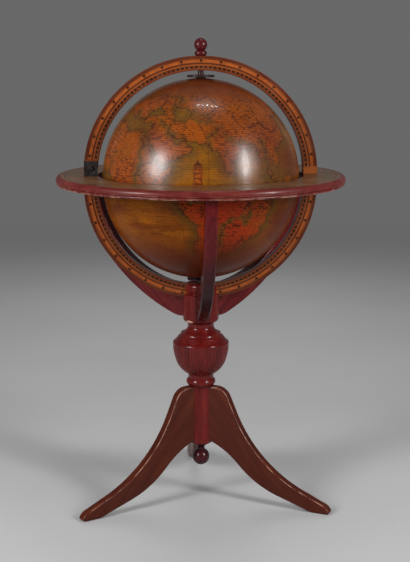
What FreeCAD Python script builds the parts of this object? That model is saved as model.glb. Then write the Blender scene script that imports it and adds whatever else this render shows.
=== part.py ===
import FreeCAD, Part
import math
import os
import re

import Sketcher
from FreeCAD import Placement, Rotation, Vector

# Globe bar: a globe of two hollow halves between a meridian and a horizon ring, on a turned column
# with three legs. The upper half meridian carries the upper half globe and swings open to the left.
# Millimetres, +Z up, origin on the floor on the axis of the column, front towards -Y.

DIMENSIONS = {
    # Globe shells
    "globe_radius": 200.0,
    "shell_wall": 4.0,
    "rim_band": 2.0,
    "rim_gap": 1.0,
    "pole_hole_gap": 1.0,
    # Horizon ring and its chart
    "globe_clearance": 9.0,
    "horizon_width": 85.0,
    "horizon_thickness": 18.0,
    "rim_bead_height": 5.5,
    "rim_bead_bulge": 2.5,
    "rim_bead_inset": 4.0,
    "rim_groove_height": 1.0,
    "rim_round_drop": 7.0,
    "rim_round_run": 6.0,
    "rim_round_radius": 9.0,
    "chart_thickness": 0.5,
    "chart_inner_margin": 2.0,
    "chart_outer_margin": 10.0,
    # Half meridians and their paper scales
    "meridian_width": 29.0,
    "meridian_thickness": 20.0,
    "scale_thickness": 0.4,
    "scale_margin": 0.6,
    "lid_gap": 0.3,
    # Hinge of the upper half meridian
    "hinge_clearance": 0.5,
    "hinge_pin_radius": 4.0,
    "hinge_pin_gap": 0.06,
    "hinge_bush_wall": 2.0,
    "pin_head_radius": 6.5,
    "pin_head_height": 3.0,
    "cheek_gap": 0.4,
    "bracket_width": 27.5,
    "bracket_height": 29.0,
    "bracket_plate": 2.5,
    "bracket_foot": 14.0,
    "hinge_screw_radius": 2.0,
    "hinge_screw_head": 3.8,
    "hinge_screw_length": 14.0,
    # Pole spindles, with the stack between globe and meridian
    "spindle_radius": 4.0,
    "running_gap": 0.08,
    "pole_gap": 0.3,
    "felt_radius": 11.0,
    "felt_thickness": 2.0,
    "dial_radius": 28.0,
    "dial_thickness": 4.0,
    "dial_round": 1.2,
    "upper_spacer_radius": 6.0,
    "lower_spacer_radius": 9.5,
    "pole_nut_flats": 13.0,
    "pole_nut_height": 6.5,
    "pole_washer_radius": 9.0,
    "pole_washer_thickness": 1.6,
    "spindle_end": 2.0,
    "spindle_head_height": 6.0,
    "seat_depth": 0.6,
    "seat_clearance": 0.3,
    # Wood inside the globe
    "pole_block_radius": 40.0,
    "pole_block_height": 16.0,
    "hoop_width": 7.6,
    "hoop_height": 16.0,
    "hoop_ledge_width": 6.5,
    "hoop_ledge_height": 10.0,
    # Bar insert
    "tray_recess": 12.0,
    "tray_thickness": 8.0,
    "tray_margin": 20.0,
    "bottle_hole_radius": 45.0,
    "bottle_circle": 70.0,
    "glass_hole_radius": 28.0,
    "glass_ring_wall": 8.0,
    "glass_ring_gap": 2.3,
    "shelf_radius": 116.5,
    "shelf_thickness": 8.0,
    "shelf_clearance": 2.0,
    "tray_post_radius": 9.0,
    "tray_post_waist": 3.0,
    "tray_post_collar": 14.0,
    "tray_post_margin": 3.5,
    "tray_screw_radius": 2.0,
    "tray_screw_head": 4.0,
    "tray_screw_length": 26.0,
    # Finial on top
    "finial_neck_radius": 7.0,
    "finial_bead": 5.5,
    "finial_ball_radius": 13.3,
    "finial_thread_depth": 16.0,
    # Base post, its drop finial and the tie rod
    "post_bottom": 116.0,
    "post_height": 124.0,
    "post_leg_face": 23.0,
    "post_free_face": 20.5,
    "drop_collar_radius": 17.0,
    "drop_collar_height": 4.0,
    "drop_cove_height": 8.0,
    "drop_cove_radius": 14.0,
    "drop_neck_radius": 8.0,
    "drop_neck_height": 5.0,
    "drop_ball_radius": 18.0,
    "tie_rod_radius": 5.0,
    "tie_rod_stub": 13.0,
    "tie_rod_end": 3.0,
    "tie_nut_flats": 17.0,
    "tie_nut_height": 8.0,
    "tie_washer_radius": 10.0,
    "tie_washer_thickness": 2.0,
    "tie_pocket_gap": 1.0,
    "post_pocket_depth": 12.0,
    "hub_nut_rise": 12.0,
    # Legs
    "leg_thickness": 20.0,
    "leg_crown_reach": 36.0,
    "leg_crown_round": 32.0,
    "leg_shin_angle": 66.0,
    "leg_shin_length": 37.0,
    "leg_sweep_bulge": 22.0,
    "leg_ankle_run": 36.0,
    "leg_ankle_level": 35.5,
    "leg_toe_run": 17.0,
    "leg_toe_level": 20.2,
    "leg_toe_bulge": 2.5,
    "leg_reach": 292.0,
    "leg_tip_round": 6.0,
    "leg_sole_length": 34.0,
    "leg_arch_run": 67.0,
    "leg_arch_level": 21.6,
    "leg_arch_bulge": 7.4,
    "leg_knee_reach": 90.0,
    "leg_knee_level": 78.5,
    "leg_knee_bulge": 4.5,
    "leg_root_rise": 6.5,
    "leg_edge_round": 3.5,
    "leg_dowel_radius": 4.0,
    "leg_dowel_length": 34.0,
    "leg_dowel_inset": 14.0,
    "leg_dowel_low": 34.0,
    "leg_dowel_high": 92.0,
    # Turned vase, from the base bead up
    "vase_base_radius": 26.0,
    "vase_bead_height": 16.0,
    "vase_bead_bulge": 4.5,
    "vase_cove_height": 9.0,
    "vase_cove_radius": 30.0,
    "vase_foot_radius": 27.5,
    "vase_bowl_height": 35.0,
    "vase_bowl_radius": 53.8,
    "vase_bowl_curve": 52.0,
    "vase_lip_height": 33.0,
    "vase_lip_radius": 58.2,
    "vase_lip_curve": 87.0,
    "vase_shoulder_height": 12.0,
    "vase_shoulder_radius": 47.3,
    "vase_shoulder_curve": 40.0,
    "vase_ridge_cove": 6.0,
    "vase_ridge_radius": 41.5,
    "vase_ridge_curve": 9.0,
    "vase_ridge_height": 1.5,
    "vase_flare_height": 11.5,
    "vase_flare_curve": 20.0,
    "vase_neck_radius": 27.2,
    "vase_neck_height": 5.0,
    "vase_top_height": 7.0,
    "vase_top_radius": 30.0,
    "vase_top_curve": 10.0,
    # Turned hub, from its rounded foot up
    "hub_radius": 37.0,
    "hub_foot_round": 7.0,
    "hub_drum_height": 51.0,
    "hub_groove_radius": 31.0,
    "hub_groove_height": 4.0,
    "hub_cap_radius": 33.5,
    "hub_cap_height": 16.0,
    "hub_cap_round": 7.0,
    "hub_slot_depth": 32.0,
    "hub_housing_depth": 9.0,
    # Arms
    "arm_thickness": 23.0,
    "arm_root_rise": 9.0,
    "arm_root_drop": 6.0,
    "arm_heel_run": 12.0,
    "arm_heel_radius": 50.0,
    "arm_heel_angle": 22.0,
    "arm_waist_clear": 61.7,
    "arm_waist_angle": 41.9,
    "arm_lower_radius": 392.0,
    "arm_upper_radius": 260.0,
    "arm_top_inset": 27.0,
    "arm_top_width": 32.0,
    "arm_inner_ease": 7.0,
    "arm_edge_round": 3.0,
    "arm_dowel_radius": 4.0,
    "arm_dowel_length": 30.0,
    "arm_dowel_inset": 10.0,
    "arm_dowel_low": 11.0,
    "arm_dowel_high": 29.0,
    "ring_dowel_radius": 3.5,
    "ring_dowel_length": 26.0,
    "ring_dowel_inset": 9.0,
    "ring_dowel_pitch": 16.0,
    "meridian_dowel_radius": 3.0,
    "meridian_dowel_length": 24.0,
    "meridian_dowel_pitch": 14.0,
    # Glued joints
    "glue_gap": 0.1,
}

# Levels and radii that follow from the driving sizes
POST_TOP = "(post_bottom + post_height)"
VASE_COVE = f"({POST_TOP} + vase_bead_height)"
VASE_FOOT = f"({VASE_COVE} + vase_cove_height)"
VASE_BOWL = f"({VASE_FOOT} + vase_bowl_height)"
VASE_LIP = f"({VASE_BOWL} + vase_lip_height)"
VASE_SHOULDER = f"({VASE_LIP} + vase_shoulder_height)"
VASE_RIDGE = f"({VASE_SHOULDER} + vase_ridge_cove)"
VASE_FLARE = f"({VASE_RIDGE} + vase_ridge_height)"
VASE_NECK = f"({VASE_FLARE} + vase_flare_height)"
VASE_CORNICE = f"({VASE_NECK} + vase_neck_height)"
HUB_BOTTOM = f"({VASE_CORNICE} + vase_top_height)"
HUB_DRUM = f"({HUB_BOTTOM} + hub_foot_round)"
HUB_GROOVE = f"({HUB_DRUM} + hub_drum_height)"
HUB_CAP = f"({HUB_GROOVE} + 2 * hub_groove_height)"
HUB_TOP = f"({HUB_CAP} + hub_cap_height)"
HUB_HOUSING = "(hub_radius - hub_housing_depth)"
HUB_NUT_SEAT = f"({HUB_BOTTOM} + hub_nut_rise)"

RING_INNER = "(globe_radius + globe_clearance)"
MERIDIAN_OUTER = f"({RING_INNER} + meridian_width)"
HORIZON_OUTER = f"({RING_INNER} + horizon_width)"
RING_BOTTOM = f"({HUB_TOP} - hub_slot_depth)"
HORIZON_BOTTOM = f"({RING_BOTTOM} + {MERIDIAN_OUTER})"
HORIZON_TOP = f"({HORIZON_BOTTOM} + horizon_thickness)"
EQUATOR = f"({HORIZON_BOTTOM} + horizon_thickness / 2)"
LID_SEAT = f"({HORIZON_TOP} + lid_gap)"
RING_WOOD = "(meridian_thickness - 2 * scale_thickness)"

SHELL_INNER = "(globe_radius - shell_wall)"
LINING = f"({SHELL_INNER} - glue_gap)"
UPPER_RIM = f"({EQUATOR} + rim_gap / 2)"
LOWER_RIM = f"({EQUATOR} - rim_gap / 2)"
UPPER_CENTRE = f"({UPPER_RIM} + rim_band)"
LOWER_CENTRE = f"({LOWER_RIM} - rim_band)"
POLE_HOLE = "(spindle_radius + pole_hole_gap)"
SPINDLE_HOLE = "(spindle_radius + glue_gap)"
SPINDLE_BORE = "(spindle_radius + running_gap)"

UPPER_FELT = f"({UPPER_CENTRE} + globe_radius + pole_gap)"
UPPER_DIAL = f"({UPPER_FELT} + felt_thickness)"
UPPER_SPACER = f"({UPPER_DIAL} + dial_thickness)"
UPPER_RING_INSIDE = f"({LID_SEAT} + {RING_INNER})"
FINIAL_SEAT = f"({LID_SEAT} + {MERIDIAN_OUTER} - seat_depth)"
FINIAL_BALL = f"({FINIAL_SEAT} + 2 * finial_bead)"
FINIAL_RISE = "sqrt(finial_ball_radius^2 - finial_neck_radius^2)"
UPPER_BLOCK = f"({UPPER_CENTRE} + {LINING} - pole_block_height)"
UPPER_WASHER = f"({UPPER_BLOCK} - pole_gap - pole_washer_thickness)"
UPPER_NUT = f"({UPPER_WASHER} - pole_nut_height)"

LOWER_RING_INSIDE = f"({HORIZON_BOTTOM} - {RING_INNER})"
LOWER_FELT = f"({LOWER_CENTRE} - globe_radius - pole_gap - felt_thickness)"
LOWER_DIAL = f"({LOWER_FELT} - dial_thickness)"
LOWER_BLOCK = f"({LOWER_CENTRE} - {LINING} + pole_block_height)"
LOWER_WASHER = f"({LOWER_BLOCK} + pole_gap)"
LOWER_NUT = f"({LOWER_WASHER} + pole_washer_thickness)"
SPINDLE_HEAD = f"({RING_BOTTOM} + seat_depth)"
SPINDLE_HEAD_SEAT = "(pole_nut_flats / sqrt(3) + seat_clearance)"

TRAY_TOP = f"({LOWER_RIM} - tray_recess)"
TRAY_SEAT = f"({TRAY_TOP} - tray_thickness)"
HOOP_INNER = f"({LINING} - hoop_width)"
TRAY_RADIUS = "(bottle_circle + bottle_hole_radius + tray_margin)"
LEDGE_BOTTOM = f"({TRAY_SEAT} - hoop_ledge_height)"
SHELF_BOTTOM = f"({LOWER_CENTRE} - sqrt({LINING}^2 - (shelf_radius + shelf_clearance)^2))"
SHELF_TOP = f"({SHELF_BOTTOM} + shelf_thickness)"
SHELF_DROP = f"({TRAY_SEAT} - {SHELF_TOP})"
GLASS_RING_OUTER = "(glass_hole_radius + glass_ring_wall)"
GLASS_CIRCLE = f"({HOOP_INNER} - glass_ring_gap - {GLASS_RING_OUTER})"
TRAY_POST_CIRCLE = "(shelf_radius - tray_post_radius - tray_post_margin)"

PIVOT_RISE = "(meridian_width / 2 + hinge_clearance)"
PIVOT_LEVEL = f"({HORIZON_TOP} + {PIVOT_RISE})"
TONGUE_OUTER = f"sqrt({MERIDIAN_OUTER}^2 - ({PIVOT_RISE} - lid_gap)^2)"
TONGUE_INNER = f"sqrt({RING_INNER}^2 - ({PIVOT_RISE} - lid_gap)^2)"
PIVOT_REACH = f"(({TONGUE_OUTER} + {TONGUE_INNER}) / 2)"
TONGUE_RADIUS = f"(({TONGUE_OUTER} - {TONGUE_INNER}) / 2)"
HINGE_BORE = "(hinge_pin_radius + hinge_pin_gap)"
BUSH_RADIUS = f"({HINGE_BORE} + hinge_bush_wall)"
CHEEK_INSIDE = "(meridian_thickness / 2 + cheek_gap)"
CHEEK_OUTSIDE = f"({CHEEK_INSIDE} + bracket_plate)"
FOOT_SCREW = f"(({CHEEK_OUTSIDE} + {CHEEK_INSIDE} + bracket_foot) / 2)"

DROP_NECK_TOP = "(post_bottom - drop_collar_height - drop_cove_height)"
DROP_BALL_TOP = f"({DROP_NECK_TOP} - drop_neck_height)"
DROP_RISE = "sqrt(drop_ball_radius^2 - drop_neck_radius^2)"
TIE_BORE = "(tie_rod_radius + glue_gap)"
TIE_POCKET = "(tie_washer_radius + tie_pocket_gap)"
TIE_BOTTOM = "(post_bottom - tie_rod_stub)"
TIE_TOP = f"({HUB_NUT_SEAT} + tie_washer_thickness + tie_nut_height + tie_rod_end)"
POST_WASHER = "(post_bottom + post_pocket_depth - tie_washer_thickness)"

ARM_ROOT = f"({HUB_HOUSING} + glue_gap)"
ARM_BOTTOM = f"({HUB_BOTTOM} + arm_root_rise)"
ARM_TOP = f"({HUB_TOP} - arm_root_drop)"
ARM_HEEL = f"({HUB_HOUSING} + arm_heel_run)"
ARM_WAIST_REACH = f"({RING_INNER} + arm_waist_clear)"
ARM_WAIST = f"({ARM_WAIST_REACH} * cos(arm_waist_angle))"
ARM_WAIST_LEVEL = f"({LOWER_CENTRE} - {ARM_WAIST_REACH} * sin(arm_waist_angle))"
ARM_TOP_INNER = f"({RING_INNER} + arm_top_inset)"
ARM_TOP_OUTER = f"({ARM_TOP_INNER} + arm_top_width)"
ARM_TOP_MIDDLE = f"({ARM_TOP_INNER} + arm_top_width / 2)"

LEG_AZIMUTHS = {"left": 210, "right": 330, "rear": 90}
ARM_AZIMUTHS = {"front": 270, "left": 150, "right": 30}
BOTTLE_AZIMUTHS = (90, 210, 330)
GLASS_AZIMUTHS = (0, 60, 120, 180, 240, 300)
TRAY_POST_AZIMUTHS = (30, 150, 270)
CUT_MARGIN = "5"

UPRIGHT = Rotation()
UPSIDE_DOWN = Rotation(Vector(1, 0, 0), 180)
FACING_FRONT = Rotation(Vector(1, 0, 0), 90)
FACING_REAR = Rotation(Vector(1, 0, 0), -90)
# The turns that bring a three-sided prism's faces towards the legs and between them.
LEG_FACES = Rotation(Vector(0, 0, 1), 30)
FREE_FACES = Rotation(Vector(0, 0, 1), 90)

doc = FreeCAD.newDocument("globe_bar")
dims = doc.addObject("Spreadsheet::Sheet", "dims")
for row, (alias, number) in enumerate(DIMENSIONS.items(), start=1):
    dims.set(f"A{row}", alias)
    dims.set(f"B{row}", str(number))
    dims.setAlias(f"B{row}", alias)
doc.recompute()

nodes = []


def qualified(formula):
    """The formula with each size in it referred to by its cell in the sheet."""
    return re.sub(r"[a-z]\w*", lambda word: f"dims.{word[0]}" if word[0] in DIMENSIONS else word[0], formula)


def value(formula):
    """The number that a formula gives with the sheet as it is."""
    result = dims.evalExpression(qualified(formula))
    return float(getattr(result, "Value", result))


def bind(obj, formulas):
    """Bind properties of an object to formulas of the sheet's sizes."""
    for path, formula in formulas.items():
        obj.setExpression(path, qualified(formula))
    return obj


def place(obj, at, turn=UPRIGHT):
    """Stand an object at a point given by three formulas, turned by a fixed rotation."""
    obj.Placement = Placement(Vector(), turn)
    return bind(obj, {f"Placement.Base.{axis}": formula for axis, formula in zip("xyz", at)})


def polar(radius, azimuth, level):
    """A point at a radius and azimuth about the column."""
    return (f"({radius}) * cos({azimuth})", f"({radius}) * sin({azimuth})", level)


def radial(azimuth):
    """The rotation that turns +Z to point outwards at an azimuth."""
    return Rotation(Vector(0, 0, 1), azimuth) * Rotation(Vector(0, 1, 0), 90)


def node(obj):
    """Hand an object in as a piece under its own label."""
    nodes.append(obj)
    return obj


def cylinder(name, radius, height, at, turn=UPRIGHT, sweep=None):
    solid = bind(doc.addObject("Part::Cylinder", name), {"Radius": radius, "Height": height})
    if sweep:
        bind(solid, {"Angle": sweep})
    return place(solid, at, turn)


def box(name, size, corner):
    solid = doc.addObject("Part::Box", name)
    bind(solid, dict(zip(("Length", "Width", "Height"), size)))
    return place(solid, corner)


def hexagon(name, flats, height, level):
    prism = doc.addObject("Part::Prism", name)
    prism.Polygon = 6
    bind(prism, {"Circumradius": f"({flats}) / sqrt(3)", "Height": height})
    return place(prism, ("0", "0", level))


def triangle(name, reach, height, level, turn):
    """A three-sided prism about the column, with its faces at a reach from the axis."""
    prism = doc.addObject("Part::Prism", name)
    prism.Polygon = 3
    bind(prism, {"Circumradius": f"2 * ({reach})", "Height": height})
    return place(prism, ("0", "0", level), turn)


def common(name, solids):
    """What several solids share."""
    shared = doc.addObject("Part::MultiCommon", name)
    shared.Shapes = solids
    return shared


def fuse(name, solids):
    union = doc.addObject("Part::MultiFuse", name)
    union.Shapes = solids
    return union


def cut(name, base, tools):
    """The base with the tools taken away."""
    result = doc.addObject("Part::Cut", name)
    result.Base = base
    result.Tool = tools[0] if len(tools) == 1 else fuse(f"{name}_tools", tools)
    return result


def group(name, solids):
    """Several separate solids as one piece."""
    compound = doc.addObject("Part::Compound", name)
    compound.Links = solids
    return compound


def through_bore(name, radius, height, level):
    """A cutter for a hole right through a piece of some height that starts at a level."""
    past_both_faces = f"{height} + 2 * {CUT_MARGIN}"
    return cylinder(f"{name}_bore", radius, past_both_faces, ("0", "0", f"{level} - {CUT_MARGIN}"))


def tube(name, outer, inner, height, level):
    """A plain ring about the axis of the column."""
    blank = cylinder(f"{name}_blank", outer, height, ("0", "0", level))
    return cut(name, blank, [through_bore(name, inner, height, level)])


def nut(name, flats, bore, height, level):
    blank = hexagon(f"{name}_blank", flats, height, level)
    return cut(name, blank, [through_bore(name, bore, height, level)])


def countersunk(name, radius, head, length, at, turn, gap="0"):
    """A flat-head screw whose head is at a point and whose tip is along the turned -Z; gap grows it."""
    depth = f"({head} - {radius})"
    shank = cylinder(f"{name}_shank", f"{radius} + {gap}", f"{length} + {gap}", at, turn * UPSIDE_DOWN)
    cone = doc.addObject("Part::Cone", f"{name}_head")
    bind(cone, {"Radius1": f"{head} + {gap}", "Radius2": f"{radius} + {gap}", "Height": depth})
    place(cone, at, turn * UPSIDE_DOWN)
    return fuse(name, [shank, cone])


def arc_middle(start, end, radius, side):
    """The middle of the shorter arc from start to end whose centre lies on the given side."""
    chord = end - start
    half = chord.Length / 2
    sagitta = radius - math.sqrt(radius * radius - half * half)
    outwards = Vector(chord.y, -chord.x, 0).normalize()
    if side == "right":
        outwards = -outwards
    return (start + end) * 0.5 + outwards * sagitta


def bulge_radius(chord, bulge):
    """The radius of an arc that rises by a bulge over a chord."""
    return f"((({chord}) / 2)^2 + ({bulge})^2) / (2 * ({bulge}))"


def bulged(start, end, bulge, side):
    """The end of an outline's arc that rises by a bulge between two corners."""
    chord = f"sqrt(({end[0]} - ({start[0]}))^2 + ({end[1]} - ({start[1]}))^2)"
    return (*end, bulge_radius(chord, bulge), side)


def hold(sketch, kind, reference, formula):
    """Add a named dimension to a sketch and bind it to a formula."""
    index = sketch.addConstraint(Sketcher.Constraint(kind, *reference, value(formula)))
    name = f"{kind}_{index}"
    sketch.renameConstraint(index, name)
    bind(sketch, {f"Constraints.{name}": formula})


def outline(sketch, corners):
    """Draw a closed outline with every corner and radius bound to formulas.

    A corner is (across, up) at the end of a straight side, or (across, up, radius, side) at the end of
    an arc whose centre lies on that side of the way round.
    """
    points = [Vector(value(corner[0]), value(corner[1]), 0) for corner in corners]
    sides = []
    for index, corner in enumerate(corners):
        start, end = points[index - 1], points[index]
        if len(corner) == 2:
            sides.append((sketch.addGeometry(Part.LineSegment(start, end), False), 1, 2))
            continue
        radius, centre_side = corner[2:]
        middle = arc_middle(start, end, value(radius), centre_side)
        arc = sketch.addGeometry(Part.Arc(start, middle, end), False)
        runs_forward = sketch.getPoint(arc, 1).isEqual(start, 1e-6)
        sides.append((arc, 1, 2) if runs_forward else (arc, 2, 1))
        hold(sketch, "Radius", (arc,), radius)
    for index, (side, _, last) in enumerate(sides):
        following, first, _ = sides[(index + 1) % len(sides)]
        sketch.addConstraint(Sketcher.Constraint("Coincident", side, last, following, first))
        for kind, axis, formula in zip(("DistanceX", "DistanceY"), (-2, -1), corners[index]):
            if formula == "0":
                sketch.addConstraint(Sketcher.Constraint("PointOnObject", side, last, axis))
            else:
                hold(sketch, kind, (-1, 1, side, last), formula)


def upright_sketch(body, corners):
    """A sketch of an outline in the body's own XZ plane."""
    plane = next(item for item in body.Origin.OriginFeatures if item.Role == "XZ_Plane")
    sketch = body.newObject("Sketcher::SketchObject", f"{body.Name}_outline")
    sketch.AttachmentSupport = [(plane, "")]
    sketch.MapMode = "FlatFace"
    outline(sketch, corners)
    return sketch


def turned(name, corners):
    """A turned piece: an outline of radius and level swept about the column's axis."""
    body = doc.addObject("PartDesign::Body", name)
    sketch = upright_sketch(body, corners)
    turning = body.newObject("PartDesign::Revolution", f"{name}_turning")
    turning.Profile = sketch
    turning.ReferenceAxis = (sketch, ["V_Axis"])
    turning.Angle = 360
    doc.recompute()
    return body


def sawn(name, corners, thickness, azimuth):
    """A sawn piece: an outline of reach and level made into a plank that stands at an azimuth."""
    body = doc.addObject("PartDesign::Body", name)
    sketch = upright_sketch(body, corners)
    plank = body.newObject("PartDesign::Pad", f"{name}_plank")
    plank.Profile = sketch
    plank.SideType = "Symmetric"
    bind(plank, {"Length": thickness})
    body.Placement = Placement(Vector(), Rotation(Vector(0, 0, 1), azimuth))
    doc.recompute()
    return body


def soften(body, thickness, radius, is_hard):
    """Round the long edges of a plank, apart from those whose both ends are in a hard place."""
    plank = body.Tip
    half = value(thickness) / 2
    names = []
    for number, edge in enumerate(plank.Shape.Edges, start=1):
        ends = [vertex.Point for vertex in edge.Vertexes]
        on_face = all(abs(abs(end.y) - half) < 1e-6 for end in ends) and abs(ends[0].y - ends[-1].y) < 1e-6
        if on_face and not all(is_hard(end) for end in ends):
            names.append(f"Edge{number}")
    rounding = body.newObject("PartDesign::Fillet", f"{body.Name}_rounding")
    rounding.Base = (plank, names)
    bind(rounding, {"Radius": f"min({radius}; ({thickness}) / 4)"})
    doc.recompute()
    return body


def dowels(name, radius, length, places):
    """A group of dowels, and for each place the hole that takes it."""
    pins = []
    holes = []
    for number, (at, turn) in enumerate(places, start=1):
        pins.append(cylinder(f"{name}_{number}", radius, length, at, turn))
        holes.append(cylinder(f"{name}_hole_{number}", f"{radius} + glue_gap", length, at, turn))
    node(group(name, pins))
    return holes


def leg_outline():
    """The side of a leg, from the top of the post out over the shin to the toe and back underneath."""
    crown_reach = "leg_crown_reach + leg_crown_round * sin(leg_shin_angle)"
    crown_level = f"{POST_TOP} - leg_crown_round * (1 - cos(leg_shin_angle))"
    shin = (f"{crown_reach} + leg_shin_length * cos(leg_shin_angle)",
            f"{crown_level} - leg_shin_length * sin(leg_shin_angle)")
    toe = ("leg_reach - leg_toe_run", "leg_toe_level")
    ankle = (f"{toe[0]} - leg_ankle_run", "leg_ankle_level")
    tip = ("leg_reach", "leg_tip_round")
    sole = ("leg_reach - leg_tip_round - leg_sole_length", "0")
    arch = (f"{sole[0]} - leg_arch_run", "leg_arch_level")
    knee = ("leg_knee_reach", "leg_knee_level")
    root = ("post_leg_face", "post_bottom + leg_root_rise")
    return [
        ("post_leg_face", POST_TOP),
        ("leg_crown_reach", POST_TOP),
        (crown_reach, crown_level, "leg_crown_round", "right"),
        shin,
        bulged(shin, ankle, "leg_sweep_bulge", "left"),
        toe,
        bulged(toe, tip, "leg_toe_bulge", "right"),
        ("leg_reach - leg_tip_round", "0", "leg_tip_round", "right"),
        sole,
        arch,
        bulged(arch, knee, "leg_arch_bulge", "right"),
        bulged(knee, root, "leg_knee_bulge", "left"),
    ]


def make_base():
    """Post, drop finial and legs."""
    places = []
    for azimuth in LEG_AZIMUTHS.values():
        for rise in ("leg_dowel_low", "leg_dowel_high"):
            at = polar("post_leg_face - leg_dowel_inset", azimuth, f"post_bottom + {rise}")
            places.append((at, radial(azimuth)))
    holes = dowels("leg_dowels", "leg_dowel_radius", "leg_dowel_length", places)

    root = value("post_leg_face")
    for number, (side, azimuth) in enumerate(LEG_AZIMUTHS.items()):
        blank = sawn(f"leg_{side}_blank", leg_outline(), "leg_thickness", azimuth)
        soften(blank, "leg_thickness", "leg_edge_round", lambda end: end.x < root + 1e-6 or end.z < 1e-6)
        node(cut(f"leg_{side}", blank, holes[2 * number:2 * number + 2]))

    blank = common("base_post_blank", [
        triangle("base_post_leg_faces", "post_leg_face", "post_height", "post_bottom", LEG_FACES),
        triangle("base_post_free_faces", "post_free_face", "post_height", "post_bottom", FREE_FACES),
    ])
    bore = cylinder("base_post_bore", TIE_BORE, "post_height", ("0", "0", "post_bottom"))
    pocket = cylinder("base_post_pocket", TIE_POCKET, "post_pocket_depth", ("0", "0", "post_bottom"))
    node(cut("base_post", blank, [bore, pocket, *holes]))

    node(turned("drop_finial", [
        (TIE_BORE, "post_bottom"),
        (TIE_BORE, f"{TIE_BOTTOM} - glue_gap"),
        ("0", f"{TIE_BOTTOM} - glue_gap"),
        ("0", f"{DROP_BALL_TOP} - {DROP_RISE} - drop_ball_radius"),
        ("drop_neck_radius", DROP_BALL_TOP, "drop_ball_radius", "left"),
        ("drop_neck_radius", DROP_NECK_TOP),
        ("drop_collar_radius", "post_bottom - drop_collar_height", "drop_cove_radius", "right"),
        ("drop_collar_radius", "post_bottom"),
    ]))


def make_column():
    """Vase, hub and the tie rod that clamps the column together."""
    node(turned("vase", [
        (TIE_BORE, POST_TOP),
        ("vase_base_radius", POST_TOP),
        ("vase_base_radius", VASE_COVE, bulge_radius("vase_bead_height", "vase_bead_bulge"), "left"),
        ("vase_foot_radius", VASE_FOOT, "vase_cove_radius", "right"),
        ("vase_bowl_radius", VASE_BOWL, "vase_bowl_curve", "left"),
        ("vase_lip_radius", VASE_LIP, "vase_lip_curve", "left"),
        ("vase_shoulder_radius", VASE_SHOULDER, "vase_shoulder_curve", "right"),
        ("vase_ridge_radius", VASE_RIDGE, "vase_ridge_curve", "right"),
        ("vase_ridge_radius", VASE_FLARE),
        ("vase_neck_radius", VASE_NECK, "vase_flare_curve", "right"),
        ("vase_neck_radius", VASE_CORNICE),
        ("vase_top_radius", HUB_BOTTOM, "vase_top_curve", "right"),
        (TIE_BORE, HUB_BOTTOM),
    ]))

    node(cylinder("tie_rod", "tie_rod_radius", f"{TIE_TOP} - {TIE_BOTTOM}", ("0", "0", TIE_BOTTOM)))
    hub_nut = f"{HUB_NUT_SEAT} + tie_washer_thickness"
    post_nut = f"{POST_WASHER} - tie_nut_height"
    node(group("tie_washers", [
        tube("tie_washer_top", "tie_washer_radius", TIE_BORE, "tie_washer_thickness", HUB_NUT_SEAT),
        tube("tie_washer_bottom", "tie_washer_radius", TIE_BORE, "tie_washer_thickness", POST_WASHER),
    ]))
    node(group("tie_nuts", [
        nut("tie_nut_top", "tie_nut_flats", TIE_BORE, "tie_nut_height", hub_nut),
        nut("tie_nut_bottom", "tie_nut_flats", TIE_BORE, "tie_nut_height", post_nut),
    ]))


def meridian_slot():
    """The room that the lower half meridian needs in the hub and in the roots of the rear arms."""
    thickness = "(meridian_thickness + 2 * glue_gap)"
    return cylinder("meridian_slot", f"{MERIDIAN_OUTER} + glue_gap", thickness,
                    ("0", f"{thickness} / 2", HORIZON_BOTTOM), FACING_FRONT)


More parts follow.
